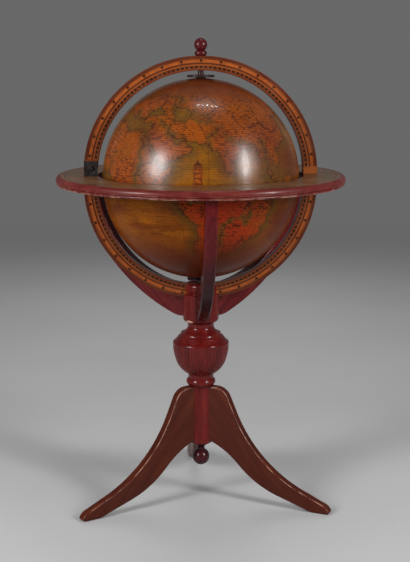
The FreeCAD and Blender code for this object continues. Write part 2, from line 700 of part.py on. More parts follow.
def make_hub_and_arms():
    """Hub with its housings, the three arms and their dowels; returns the holes in the horizon ring."""
    root_places = []
    top_places = []
    for azimuth in ARM_AZIMUTHS.values():
        for rise in ("arm_dowel_low", "arm_dowel_high"):
            at = polar(f"{HUB_HOUSING} - arm_dowel_inset", azimuth, f"{ARM_BOTTOM} + {rise}")
            root_places.append((at, radial(azimuth)))
        for shift in ("-ring_dowel_pitch / 2", "ring_dowel_pitch / 2"):
            level = f"{HORIZON_BOTTOM} + ring_dowel_inset - ring_dowel_length"
            top_places.append((polar(f"{ARM_TOP_MIDDLE} + {shift}", azimuth, level), UPRIGHT))
    root_holes = dowels("arm_dowels", "arm_dowel_radius", "arm_dowel_length", root_places)
    top_holes = dowels("ring_dowels", "ring_dowel_radius", "ring_dowel_length", top_places)

    slot = meridian_slot()
    heel_reach = "arm_heel_radius * sin(arm_heel_angle)"
    heel_rise = "arm_heel_radius * (1 - cos(arm_heel_angle))"
    arm_outline = [
        (ARM_ROOT, ARM_TOP),
        (ARM_ROOT, ARM_BOTTOM),
        (ARM_HEEL, ARM_BOTTOM),
        (f"{ARM_HEEL} + {heel_reach}", f"{ARM_BOTTOM} + {heel_rise}", "arm_heel_radius", "left"),
        (ARM_WAIST, ARM_WAIST_LEVEL, "arm_lower_radius", "left"),
        (ARM_TOP_OUTER, HORIZON_BOTTOM, "arm_upper_radius", "left"),
        (ARM_TOP_INNER, HORIZON_BOTTOM),
        ("hub_radius", ARM_TOP, f"{RING_INNER} + arm_inner_ease", "right"),
    ]
    housing_outline = [
        (HUB_HOUSING, f"{ARM_BOTTOM} - glue_gap"),
        ("2 * hub_radius", f"{ARM_BOTTOM} - glue_gap"),
        ("2 * hub_radius", f"{ARM_TOP} + glue_gap"),
        (HUB_HOUSING, f"{ARM_TOP} + glue_gap"),
    ]
    root = value(ARM_ROOT)
    top = value(HORIZON_BOTTOM)
    housings = []
    for number, (side, azimuth) in enumerate(ARM_AZIMUTHS.items()):
        blank = sawn(f"arm_{side}_blank", arm_outline, "arm_thickness", azimuth)
        soften(blank, "arm_thickness", "arm_edge_round",
               lambda end: end.x < root + 1e-6 or end.z > top - 1e-6)
        holes = root_holes[2 * number:2 * number + 2] + top_holes[2 * number:2 * number + 2]
        node(cut(f"arm_{side}", blank, holes if side == "front" else [slot, *holes]))
        housings.append(sawn(f"hub_housing_{side}", housing_outline, "arm_thickness + 2 * glue_gap", azimuth))

    blank = turned("hub_blank", [
        (TIE_BORE, HUB_BOTTOM),
        ("hub_radius - hub_foot_round", HUB_BOTTOM),
        ("hub_radius", HUB_DRUM, "hub_foot_round", "left"),
        ("hub_radius", HUB_GROOVE),
        ("hub_groove_radius", f"{HUB_GROOVE} + hub_groove_height"),
        ("hub_cap_radius", HUB_CAP),
        ("hub_cap_radius", f"{HUB_TOP} - hub_cap_round"),
        ("hub_cap_radius - hub_cap_round", HUB_TOP, "hub_cap_round", "left"),
        (TIE_BORE, HUB_TOP),
    ])
    pocket_radius = f"max({TIE_POCKET}; {SPINDLE_HEAD_SEAT}; lower_spacer_radius + seat_clearance)"
    pocket_depth = f"{HUB_TOP} - {HUB_NUT_SEAT} + {CUT_MARGIN}"
    pocket = cylinder("hub_pocket", pocket_radius, pocket_depth, ("0", "0", HUB_NUT_SEAT))
    node(cut("hub", blank, [slot, pocket, *housings, *root_holes]))
    return top_holes


def make_horizon(arm_holes):
    """Horizon ring, its paper chart and the lower half meridian with its scales."""
    level = f"{HORIZON_BOTTOM} - meridian_dowel_length + horizon_thickness / 2"
    places = []
    for sign in ("", "-"):
        for shift in ("-meridian_dowel_pitch / 2", "meridian_dowel_pitch / 2"):
            places.append(((f"{sign}({RING_INNER} + meridian_width / 2 + {shift})", "0", level), UPRIGHT))
    ring_holes = dowels("meridian_dowels", "meridian_dowel_radius", "meridian_dowel_length", places)
    screw_holes = hinge_screws("hinge_screw_hole", "glue_gap")

    chart_inner = f"{RING_INNER} + chart_inner_margin"
    chart_outer = f"{HORIZON_OUTER} - chart_outer_margin"
    chart_level = f"{HORIZON_TOP} - chart_thickness"
    bead = f"{HORIZON_OUTER} - rim_bead_inset"
    bead_top = f"{HORIZON_BOTTOM} + rim_bead_height"
    blank = turned("horizon_ring_blank", [
        (RING_INNER, HORIZON_BOTTOM),
        (bead, HORIZON_BOTTOM),
        (bead, bead_top, bulge_radius("rim_bead_height", "rim_bead_bulge"), "left"),
        (HORIZON_OUTER, f"{bead_top} + rim_groove_height"),
        (HORIZON_OUTER, f"{HORIZON_TOP} - rim_round_drop"),
        (f"{HORIZON_OUTER} - rim_round_run", HORIZON_TOP, "rim_round_radius", "left"),
        (chart_outer, HORIZON_TOP),
        (chart_outer, chart_level),
        (chart_inner, chart_level),
        (chart_inner, HORIZON_TOP),
        (RING_INNER, HORIZON_TOP),
    ])
    node(cut("horizon_ring", blank, [*arm_holes, *ring_holes, *screw_holes]))
    paper = tube("horizon_chart_blank", chart_outer, chart_inner, "chart_thickness", chart_level)
    node(cut("horizon_chart", paper, screw_holes))

    half = half_ring("meridian_lower_blank", HORIZON_BOTTOM, FACING_REAR)
    drill = through_bore("meridian_lower", SPINDLE_HOLE, "meridian_width", RING_BOTTOM)
    spacer_seat = cylinder("lower_spacer_seat", "lower_spacer_radius + seat_clearance", CUT_MARGIN,
                           ("0", "0", LOWER_RING_INSIDE))
    head_seat = cylinder("lower_head_seat", SPINDLE_HEAD_SEAT, CUT_MARGIN,
                         ("0", "0", f"{SPINDLE_HEAD} - {CUT_MARGIN}"))
    node(cut("meridian_lower", half, [drill, spacer_seat, head_seat, *ring_holes]))
    paper_scales("scale_lower", HORIZON_BOTTOM, FACING_REAR, "180 deg")


def half_ring(name, centre, turn):
    """The wood of a half meridian about a centre level, above it or below it."""
    behind = f"{RING_WOOD} / 2" if turn == FACING_FRONT else f"-{RING_WOOD} / 2"
    before = f"{behind} + {CUT_MARGIN}" if turn == FACING_FRONT else f"{behind} - {CUT_MARGIN}"
    disc = cylinder(f"{name}_disc", MERIDIAN_OUTER, RING_WOOD, ("0", behind, centre), turn, "180 deg")
    eye = cylinder(f"{name}_eye", RING_INNER, f"{RING_WOOD} + 2 * {CUT_MARGIN}", ("0", before, centre), turn)
    return cut(name, disc, [eye])


def paper_scales(name, centre, turn, sweep):
    """The printed paper on the front and rear faces of a half meridian."""
    faces = {"front": "-meridian_thickness / 2", "rear": f"{RING_WOOD} / 2"}
    for face, nearest in faces.items():
        start = f"{nearest} + scale_thickness" if turn == FACING_FRONT else nearest
        sheet = cylinder(f"{name}_{face}_sheet", f"{MERIDIAN_OUTER} - scale_margin", "scale_thickness",
                         ("0", start, centre), turn, sweep)
        eye = cylinder(f"{name}_{face}_eye", f"{RING_INNER} + scale_margin", "scale_thickness",
                       ("0", start, centre), turn)
        node(cut(f"{name}_{face}", sheet, [eye]))


def hinge_screws(name, gap):
    """The screw through the foot of each hinge bracket, or with a gap the hole that it needs."""
    screws = []
    for face, sign in (("front", "-"), ("rear", "")):
        at = (f"-{PIVOT_REACH}", f"{sign}{FOOT_SCREW}", f"{HORIZON_TOP} + bracket_plate")
        screws.append(countersunk(f"{name}_{face}", "hinge_screw_radius", "hinge_screw_head",
                                  "hinge_screw_length", at, UPRIGHT, gap))
    return screws


def pivot_bore(name, radius, thickness, rear):
    """A cutter along the hinge's axis, right through a piece of some thickness whose rear is given."""
    past_both_faces = f"{thickness} + 2 * {CUT_MARGIN}"
    return cylinder(name, radius, past_both_faces,
                    (f"-{PIVOT_REACH}", f"{rear} + {CUT_MARGIN}", PIVOT_LEVEL), FACING_FRONT)


def make_hinge():
    """Angle brackets, pin and screws, all fixed to the horizon ring."""
    foot_holes = hinge_screws("hinge_foot_hole", "glue_gap")
    node(group("hinge_screws", hinge_screws("hinge_screw", "0")))
    edge = f"-{PIVOT_REACH} - bracket_width / 2"
    for number, (face, sign) in enumerate((("front", -1), ("rear", 1))):
        cheek_start = f"-{CHEEK_OUTSIDE}" if sign < 0 else CHEEK_INSIDE
        foot_start = f"-({CHEEK_INSIDE} + bracket_foot)" if sign < 0 else CHEEK_INSIDE
        name = f"hinge_bracket_{face}"
        cheek = box(f"{name}_cheek", ("bracket_width", "bracket_plate", "bracket_height"),
                    (edge, cheek_start, HORIZON_TOP))
        foot = box(f"{name}_foot", ("bracket_width", "bracket_foot", "bracket_plate"),
                   (edge, foot_start, HORIZON_TOP))
        angle = fuse(f"{name}_angle", [cheek, foot])
        eye = pivot_bore(f"{name}_eye", HINGE_BORE, "bracket_plate", f"{cheek_start} + bracket_plate")
        node(cut(name, angle, [eye, foot_holes[number]]))

    shank = cylinder("hinge_pin_shank", "hinge_pin_radius", f"2 * {CHEEK_OUTSIDE}",
                     (f"-{PIVOT_REACH}", CHEEK_OUTSIDE, PIVOT_LEVEL), FACING_FRONT)
    heads = []
    ends = (("front", f"-{CHEEK_OUTSIDE}", FACING_FRONT), ("rear", CHEEK_OUTSIDE, FACING_REAR))
    for face, start, turn in ends:
        head = doc.addObject("Part::Cone", f"hinge_pin_head_{face}")
        bind(head, {"Radius1": "pin_head_radius", "Radius2": "hinge_pin_radius", "Height": "pin_head_height"})
        heads.append(place(head, (f"-{PIVOT_REACH}", start, PIVOT_LEVEL), turn))
    node(fuse("hinge_pin", [shank, *heads]))


def make_lid():
    """Upper half meridian with its tongue, scales, bush, finial, spindle and pole stack."""
    half = half_ring("meridian_upper_half", LID_SEAT, FACING_FRONT)
    below_pivot = box("meridian_upper_trim",
                      (MERIDIAN_OUTER, "2 * meridian_thickness", f"{PIVOT_LEVEL} - {HORIZON_BOTTOM}"),
                      (f"-{MERIDIAN_OUTER}", "-meridian_thickness", HORIZON_BOTTOM))
    tongue = cylinder("meridian_upper_tongue", TONGUE_RADIUS, RING_WOOD,
                      (f"-{PIVOT_REACH}", f"-{RING_WOOD} / 2", PIVOT_LEVEL), FACING_REAR, "180 deg")
    blank = fuse("meridian_upper_blank", [cut("meridian_upper_trimmed", half, [below_pivot]), tongue])
    eye = pivot_bore("meridian_upper_eye", f"{BUSH_RADIUS} + glue_gap", RING_WOOD, f"{RING_WOOD} / 2")
    drill = through_bore("meridian_upper", SPINDLE_HOLE, "meridian_width", UPPER_RING_INSIDE)
    spacer_seat = cylinder("upper_spacer_seat", "upper_spacer_radius + seat_clearance", CUT_MARGIN,
                           ("0", "0", f"{UPPER_RING_INSIDE} - {CUT_MARGIN}"))
    finial_seat = cylinder("finial_seat", "finial_neck_radius + finial_bead + seat_clearance", CUT_MARGIN,
                           ("0", "0", FINIAL_SEAT))
    node(cut("meridian_upper", blank, [eye, drill, spacer_seat, finial_seat]))
    bare = f"asin((bracket_height + scale_margin) / {RING_INNER})"
    paper_scales("scale_upper", LID_SEAT, FACING_FRONT, f"180 deg - {bare}")

    sleeve = cylinder("hinge_bush_blank", BUSH_RADIUS, RING_WOOD,
                      (f"-{PIVOT_REACH}", f"{RING_WOOD} / 2", PIVOT_LEVEL), FACING_FRONT)
    bore = pivot_bore("hinge_bush_bore", HINGE_BORE, RING_WOOD, f"{RING_WOOD} / 2")
    node(cut("hinge_bush", sleeve, [bore]))

    thread_top = f"{FINIAL_SEAT} + finial_thread_depth"
    node(turned("top_finial", [
        (SPINDLE_HOLE, FINIAL_SEAT),
        ("finial_neck_radius", FINIAL_SEAT),
        ("finial_neck_radius + finial_bead", f"{FINIAL_SEAT} + finial_bead", "finial_bead", "left"),
        ("finial_neck_radius", FINIAL_BALL, "finial_bead", "left"),
        ("0", f"{FINIAL_BALL} + {FINIAL_RISE} + finial_ball_radius", "finial_ball_radius", "left"),
        ("0", f"{thread_top} + glue_gap"),
        (SPINDLE_HOLE, f"{thread_top} + glue_gap"),
    ]))
    spindle_bottom = f"{UPPER_NUT} - spindle_end"
    spindle_length = f"{thread_top} - ({spindle_bottom})"
    spacer_height = f"({UPPER_RING_INSIDE} - {UPPER_SPACER})"
    node(cylinder("upper_spindle", "spindle_radius", spindle_length, ("0", "0", spindle_bottom)))
    node(tube("upper_spacer", "upper_spacer_radius", SPINDLE_HOLE, spacer_height, UPPER_SPACER))
    node(dial("upper_dial", UPPER_DIAL))
    node(tube("upper_felt", "felt_radius", SPINDLE_HOLE, "felt_thickness", UPPER_FELT))
    node(tube("upper_washer", "pole_washer_radius", SPINDLE_HOLE, "pole_washer_thickness", UPPER_WASHER))
    node(nut("upper_nut", "pole_nut_flats", SPINDLE_HOLE, "pole_nut_height", UPPER_NUT))


def dial(name, level):
    """A turned disc with rounded edges at a pole."""
    top = f"{level} + dial_thickness"
    return turned(name, [
        (SPINDLE_HOLE, level),
        ("dial_radius - dial_round", level),
        ("dial_radius", f"{level} + dial_round", "dial_round", "left"),
        ("dial_radius", f"{top} - dial_round"),
        ("dial_radius - dial_round", top, "dial_round", "left"),
        (SPINDLE_HOLE, top),
    ])


def make_lower_pole():
    """The spindle that the lower half globe turns on, and its stack, all fixed to the stand."""
    head_bottom = f"{SPINDLE_HEAD} - spindle_head_height"
    head = hexagon("lower_spindle_head", "pole_nut_flats", "spindle_head_height", head_bottom)
    top = f"{LOWER_NUT} + pole_nut_height + spindle_end"
    shank_length = f"{top} - {SPINDLE_HEAD}"
    shank = cylinder("lower_spindle_shank", "spindle_radius", shank_length, ("0", "0", SPINDLE_HEAD))
    node(fuse("lower_spindle", [head, shank]))
    spacer_height = f"({LOWER_DIAL} - {LOWER_RING_INSIDE})"
    node(tube("lower_spacer", "lower_spacer_radius", SPINDLE_HOLE, spacer_height, LOWER_RING_INSIDE))
    node(dial("lower_dial", LOWER_DIAL))
    node(tube("lower_felt", "felt_radius", SPINDLE_HOLE, "felt_thickness", LOWER_FELT))
    node(tube("lower_washer", "pole_washer_radius", SPINDLE_HOLE, "pole_washer_thickness", LOWER_WASHER))
    node(nut("lower_nut", "pole_nut_flats", SPINDLE_HOLE, "pole_nut_height", LOWER_NUT))


def sphere_level(centre, sign, radius, reach):
    """The level of a sphere's surface above or below its centre at a reach from the axis."""
    return f"{centre} {sign} sqrt(({radius})^2 - ({reach})^2)"


def make_half_globe(name, centre, rim, sign):
    """A hollow half globe with a straight band at its rim, and the block glued inside its pole."""
    outwards, back = ("right", "left") if sign == "+" else ("left", "right")
    node(turned(f"{name}_hemisphere", [
        (POLE_HOLE, sphere_level(centre, sign, "globe_radius", POLE_HOLE)),
        ("globe_radius", centre, "globe_radius", outwards),
        ("globe_radius", rim),
        (SHELL_INNER, rim),
        (SHELL_INNER, centre),
        (POLE_HOLE, sphere_level(centre, sign, SHELL_INNER, POLE_HOLE), SHELL_INNER, back),
    ]))
    flat = UPPER_BLOCK if sign == "+" else LOWER_BLOCK
    node(turned(f"{name}_pole_block", [
        (SPINDLE_BORE, sphere_level(centre, sign, LINING, SPINDLE_BORE)),
        ("pole_block_radius", sphere_level(centre, sign, LINING, "pole_block_radius"), LINING, outwards),
        ("pole_block_radius", flat),
        (SPINDLE_BORE, flat),
    ]))


def make_hoops():
    """The wooden hoops inside the two rims; the lower one has a ledge for the glass rings."""
    hoop_top = f"{UPPER_CENTRE} + hoop_height"
    node(turned("upper_rim_hoop", [
        (LINING, UPPER_RIM),
        (LINING, UPPER_CENTRE),
        (f"sqrt({LINING}^2 - hoop_height^2)", hoop_top, LINING, "left"),
        (HOOP_INNER, hoop_top),
        (HOOP_INNER, UPPER_RIM),
    ]))
    ledge = f"{HOOP_INNER} - hoop_ledge_width"
    node(turned("lower_rim_hoop", [
        (LINING, LOWER_RIM),
        (LINING, LOWER_CENTRE),
        (f"sqrt({LINING}^2 - ({LOWER_CENTRE} - {LEDGE_BOTTOM})^2)", LEDGE_BOTTOM, LINING, "right"),
        (ledge, LEDGE_BOTTOM),
        (ledge, TRAY_SEAT),
        (HOOP_INNER, TRAY_SEAT),
        (HOOP_INNER, LOWER_RIM),
    ]))


def tray_screws(name, gap):
    """The screws down through the tray and up through the shelf into the posts, or their holes."""
    screws = []
    for azimuth in TRAY_POST_AZIMUTHS:
        for end, level, turn in (("tray", TRAY_TOP, UPRIGHT), ("shelf", SHELF_BOTTOM, UPSIDE_DOWN)):
            at = polar(TRAY_POST_CIRCLE, azimuth, level)
            screws.append(countersunk(f"{name}_{end}_{azimuth}", "tray_screw_radius", "tray_screw_head",
                                      "tray_screw_length", at, turn, gap))
    return screws


def make_bar_insert():
    """Tray, the glass rings let into its edge, bottle shelf and the turned posts under the tray."""
    holes = tray_screws("tray_screw_hole", "glue_gap")
    wells = []
    rings = []
    for azimuth in BOTTLE_AZIMUTHS:
        wells.append(cylinder(f"bottle_hole_{azimuth}", "bottle_hole_radius", "tray_thickness",
                              polar("bottle_circle", azimuth, TRAY_SEAT)))
    for azimuth in GLASS_AZIMUTHS:
        at = polar(GLASS_CIRCLE, azimuth, TRAY_SEAT)
        wells.append(cylinder(f"glass_ring_seat_{azimuth}", f"{GLASS_RING_OUTER} + glue_gap",
                              "tray_thickness", at))
        blank = cylinder(f"glass_ring_blank_{azimuth}", GLASS_RING_OUTER, "tray_thickness", at)
        hole = cylinder(f"glass_hole_{azimuth}", "glass_hole_radius", "tray_thickness", at)
        rings.append(cut(f"glass_ring_{azimuth}", blank, [hole]))
    blank = cylinder("bar_tray_blank", TRAY_RADIUS, "tray_thickness", ("0", "0", TRAY_SEAT))
    node(cut("bar_tray", blank, [*wells, *holes]))
    node(group("glass_rings", rings))
    blank = cylinder("bottle_shelf_blank", "shelf_radius", "shelf_thickness", ("0", "0", SHELF_BOTTOM))
    node(cut("bottle_shelf", blank, holes))

    waist_curve = bulge_radius(f"{SHELF_DROP} - 2 * tray_post_collar", "tray_post_waist")
    posts = []
    for azimuth in TRAY_POST_AZIMUTHS:
        blank = turned(f"tray_post_blank_{azimuth}", [
            ("0", "0"),
            ("tray_post_radius", "0"),
            ("tray_post_radius", "tray_post_collar"),
            ("tray_post_radius", f"{SHELF_DROP} - tray_post_collar", waist_curve, "right"),
            ("tray_post_radius", SHELF_DROP),
            ("0", SHELF_DROP),
        ])
        place(blank, polar(TRAY_POST_CIRCLE, azimuth, SHELF_TOP))
        posts.append(cut(f"tray_post_{azimuth}", blank, holes))
    node(group("tray_posts", posts))
    node(group("tray_screws", tray_screws("tray_screw", "0")))


def check_document():
    """Stop if any object failed or any piece is not a sound solid."""
    failed = [obj.Label for obj in doc.Objects if {"Invalid", "Error"} & set(obj.State)]
    if failed:
        raise RuntimeError(f"failed objects: {failed}")
    for piece in nodes:
        if piece.Shape.isNull() or not piece.Shape.isValid() or not piece.Shape.Solids:
            raise RuntimeError(f"unsound piece: {piece.Label}")


make_base()
make_column()
make_horizon(make_hub_and_arms())
make_hinge()
make_lid()
make_lower_pole()
make_half_globe("upper", UPPER_CENTRE, UPPER_RIM, "+")
make_half_globe("lower", LOWER_CENTRE, LOWER_RIM, "-")
make_hoops()
make_bar_insert()
doc.recompute()
check_document()

os.makedirs("parts", exist_ok=True)
for piece in nodes:
    piece.Shape.exportStep(f"parts/{piece.Label}.step")
print(f"{len(nodes)} pieces written")
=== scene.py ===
import math

import bpy
import numpy as np
from mathutils import Euler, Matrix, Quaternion, Vector


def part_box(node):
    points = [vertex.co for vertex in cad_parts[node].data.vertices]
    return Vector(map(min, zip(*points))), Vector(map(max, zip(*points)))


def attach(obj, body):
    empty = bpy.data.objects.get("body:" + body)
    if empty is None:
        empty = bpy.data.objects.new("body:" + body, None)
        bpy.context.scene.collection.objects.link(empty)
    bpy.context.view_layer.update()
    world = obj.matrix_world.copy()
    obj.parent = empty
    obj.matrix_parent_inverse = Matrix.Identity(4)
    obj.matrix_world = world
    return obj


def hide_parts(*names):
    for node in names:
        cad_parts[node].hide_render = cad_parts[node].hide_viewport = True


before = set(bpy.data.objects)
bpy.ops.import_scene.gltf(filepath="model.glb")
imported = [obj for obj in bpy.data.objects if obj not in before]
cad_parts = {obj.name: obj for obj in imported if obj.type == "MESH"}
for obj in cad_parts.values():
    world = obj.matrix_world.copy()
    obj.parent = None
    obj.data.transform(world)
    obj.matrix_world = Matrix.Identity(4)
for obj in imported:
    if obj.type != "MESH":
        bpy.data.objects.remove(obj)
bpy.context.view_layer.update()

# Looks of the globe bar. Metres, in the CAD frame: +Z up, front towards -Y, hinge towards -X.

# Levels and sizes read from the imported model, with those of the part's own sizes that its boxes don't show
HORIZON_LOW, HORIZON_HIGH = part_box("horizon_ring")
HORIZON_OUTER = HORIZON_HIGH.x
UPPER_LOW, UPPER_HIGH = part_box("upper_hemisphere")
LOWER_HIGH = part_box("lower_hemisphere")[1]
GLOBE_RADIUS = UPPER_HIGH.x
SHELL_WALL = 0.004
RIM_BAND = 0.002
POLE_HOLE = 0.005
UPPER_CENTRE = UPPER_LOW.z + RIM_BAND
LOWER_CENTRE = LOWER_HIGH.z - RIM_BAND
SCALE_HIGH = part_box("scale_lower_front")[1]
SCALE_OUTER = SCALE_HIGH.x
LOWER_SCALE_CENTRE = SCALE_HIGH.z
UPPER_SCALE_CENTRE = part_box("scale_upper_front")[0].z
SCALE_WIDTH = 0.0278
CHART_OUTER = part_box("horizon_chart")[1].x
CHART_INNER = 0.211

CAMERA_AZIMUTH = -4.4
CAMERA_DISTANCE = 2.7
CAMERA_HEIGHT = 0.973
CAMERA_PITCH = 10.75
CAMERA_YAW = 0.183
CAMERA_LENS = 85.1
CAMERA_SENSOR = 36.0
CAMERA_FAR = 60.0

# The longitude of each half that faces the camera
UPPER_FRONT_LONGITUDE = 64.0
LOWER_FRONT_LONGITUDE = -68.5


class Shader:
    """A node material in the making; each method adds a node and returns its output."""

    def __init__(self, name, **constants):
        self.material = bpy.data.materials.new(name)
        self.material.use_nodes = True
        self.tree = self.material.node_tree
        self.tree.nodes.clear()
        self.output = self.tree.nodes.new("ShaderNodeOutputMaterial")
        inputs = {"Specular IOR Level": 0.25}
        inputs.update({key.replace("_", " "): value for key, value in constants.items()})
        self.surface = self.add("ShaderNodeBsdfPrincipled", inputs)
        self.tree.links.new(self.surface.outputs[0], self.output.inputs["Surface"])

    def put(self, socket, value):
        if isinstance(value, bpy.types.NodeSocket):
            self.tree.links.new(value, socket)
        else:
            socket.default_value = value

    def add(self, kind, inputs, **settings):
        node = self.tree.nodes.new(kind)
        for key, value in settings.items():
            setattr(node, key, value)
        for key, value in inputs.items():
            self.put(node.inputs[key], value)
        return node

    def point(self):
        return self.add("ShaderNodeTexCoord", {}).outputs["Object"]

    def normal(self):
        return self.add("ShaderNodeTexCoord", {}).outputs["Normal"]

    def attribute(self, name):
        return self.add("ShaderNodeAttribute", {}, attribute_name=name).outputs["Fac"]

    def split(self, vector):
        return self.add("ShaderNodeSeparateXYZ", {0: vector}).outputs

    def join(self, x, y, z):
        return self.add("ShaderNodeCombineXYZ", {0: x, 1: y, 2: z}).outputs[0]

    def move(self, vector, scale=(1, 1, 1), rotation=(0, 0, 0), location=(0, 0, 0)):
        return self.add("ShaderNodeMapping", {"Vector": vector, "Scale": scale, "Rotation": rotation,
                                              "Location": location}).outputs[0]

    def maths(self, operation, *terms):
        return self.add("ShaderNodeMath", dict(enumerate(terms)), operation=operation).outputs[0]

    def product(self, first, *others):
        for other in others:
            first = self.maths("MULTIPLY", first, other)
        return first

    def most(self, first, *others):
        for other in others:
            first = self.maths("MAXIMUM", first, other)
        return first

    def span(self, x, y):
        """The length of a flat vector."""
        return self.maths("SQRT", self.maths("ADD", self.product(x, x), self.product(y, y)))

    def bearing(self, x, y):
        """The direction of a flat vector in degrees."""
        return self.product(self.maths("ARCTAN2", y, x), 180.0 / math.pi)

    def plus(self, value, other, share):
        """The value with a share of another added to it."""
        return self.maths("ADD", value, self.product(other, share))

    def shaken(self, value, noise, size):
        """The value moved up and down by a noise."""
        return self.plus(value, self.maths("SUBTRACT", noise, 0.5), size)

    def ease(self, value, start, end, low=0.0, high=1.0):
        """A smooth step from low at start to high at end; start may lie above end."""
        inputs = {"Value": value, "From Min": start, "From Max": end, "To Min": low, "To Max": high}
        return self.add("ShaderNodeMapRange", inputs, interpolation_type="SMOOTHSTEP").outputs[0]

    def band(self, value, low, high, soft):
        """1 where the value lies between two limits."""
        above = self.ease(value, low - soft, low + soft)
        below = self.ease(value, high + soft, high - soft)
        return self.product(above, below)

    def near(self, value, centre, half, soft):
        """1 within half of a centre."""
        gap = self.maths("ABSOLUTE", self.maths("SUBTRACT", value, centre))
        return self.ease(gap, half + soft, half - soft)

    def every(self, value, period, half, soft):
        """1 within half of each multiple of a period."""
        gap = self.maths("PINGPONG", value, period / 2)
        return self.ease(gap, half + soft, half - soft)

    def noise(self, vector, scale, detail=3.0, roughness=0.5, distortion=0.0):
        inputs = {"Vector": vector, "Scale": scale, "Detail": detail, "Roughness": roughness,
                  "Distortion": distortion}
        return self.add("ShaderNodeTexNoise", inputs).outputs[0]

    def cells(self, vector, scale, feature="F1", output="Color"):
        inputs = {"Vector": vector, "Scale": scale}
        return self.add("ShaderNodeTexVoronoi", inputs, feature=feature).outputs[output]

    def over(self, color, tone, *factors):
        """A tone laid over a colour, as far as the product of the factors says."""
        node = self.add("ShaderNodeMix", {0: self.product(*factors)}, data_type="RGBA")
        self.put(node.inputs[6], rgba(color))
        self.put(node.inputs[7], rgba(tone))
        return node.outputs[2]

    def ramp(self, factor, stops):
        node = self.add("ShaderNodeValToRGB", {0: factor})
        elements = node.color_ramp.elements
        while len(elements) < len(stops):
            elements.new(0.5)
        for element, (position, color) in zip(elements, stops):
            element.position = position
            element.color = rgba(color)
        return node.outputs[0]

    def done(self, color, roughness, height, depth, strength=1.0):
        """Link the varying colour, roughness and height, and hand over the material."""
        bump = self.add("ShaderNodeBump", {"Height": height, "Distance": depth, "Strength": strength})
        self.put(self.surface.inputs["Base Color"], color)
        self.put(self.surface.inputs["Roughness"], roughness)
        self.put(self.surface.inputs["Normal"], bump.outputs[0])
        return self.material


def rgba(color):
    if isinstance(color, bpy.types.NodeSocket):
        return color
    return (*color, 1.0)


# Wood

MAROON = ((0.046, 0.0032, 0.0032), (0.098, 0.0062, 0.0052), (0.140, 0.0130, 0.0085))
PLUM = ((0.040, 0.0026, 0.0040), (0.088, 0.0060, 0.0070), (0.125, 0.0120, 0.0120))
RUSSET = ((0.040, 0.0048, 0.0016), (0.064, 0.0090, 0.0024), (0.094, 0.0165, 0.0040))
WINE = ((0.030, 0.0024, 0.0036), (0.062, 0.0050, 0.0068), (0.092, 0.0100, 0.0110))
DARK_PLUM = ((0.020, 0.0026, 0.0040), (0.044, 0.0060, 0.0085), (0.070, 0.0120, 0.0140))
RIM_RED = ((0.062, 0.0070, 0.0065), (0.110, 0.0145, 0.0115), (0.150, 0.0260, 0.0200))
RING_BROWN = ((0.070, 0.0130, 0.0065), (0.120, 0.0270, 0.0110), (0.170, 0.0450, 0.0160))
DIAL_BROWN = ((0.012, 0.0040, 0.0050), (0.026, 0.0085, 0.0100), (0.044, 0.0150, 0.0160))
TRAY_BROWN = ((0.065, 0.0190, 0.0080), (0.130, 0.0420, 0.0170), (0.190, 0.0720, 0.0300))
BARE_WOOD = ((0.300, 0.1700, 0.0800), (0.420, 0.2600, 0.1350), (0.520, 0.3500, 0.2000))
# Pale bare wood where the lacquer is worn; on the planks' upper edges it is also a painted highlight
PALE_WEAR_AND_HIGHLIGHT = (0.520, 0.290, 0.205)
# Painted shade laid over the lower part of the front arm
DOWNWARD_SHADE_TONE = (0.016, 0.0035, 0.0045)


def grained(shader, stretched, tones):
    """Wood grain drawn along the vector's shrunken axis: broad figure under fine pores."""
    figure = shader.noise(stretched, 1.0, detail=4.0, roughness=0.55, distortion=0.6)
    pores = shader.noise(stretched, 4.0, detail=2.0, roughness=0.6)
    mixed = shader.plus(shader.product(figure, 0.72), pores, 0.28)
    color = shader.ramp(mixed, list(zip((0.32, 0.5, 0.68), tones)))
    return color, pores


def turned_wood(name, tones, roughness=(0.18, 0.32), coat=0.12, wear=None, scale=(55.0, 55.0, 5.0)):
    """Lacquered wood with upright grain; wear adds the worn places that a function draws."""
    shader = Shader(name, Specular_IOR_Level=0.16, Coat_Weight=coat, Coat_Roughness=0.1)
    point = shader.point()
    color, pores = grained(shader, shader.move(point, scale=scale), tones)
    handling = shader.noise(point, 14.0, detail=4.0, roughness=0.6)
    color = shader.over(color, tones[0], shader.ease(handling, 0.35, 0.75, 0.0, 0.35))
    if wear:
        color = shader.over(color, PALE_WEAR_AND_HIGHLIGHT, wear(shader, point))
    gloss = shader.ease(handling, 0.3, 0.75, *roughness)
    return shader.done(color, gloss, pores, depth=0.00012, strength=0.5)


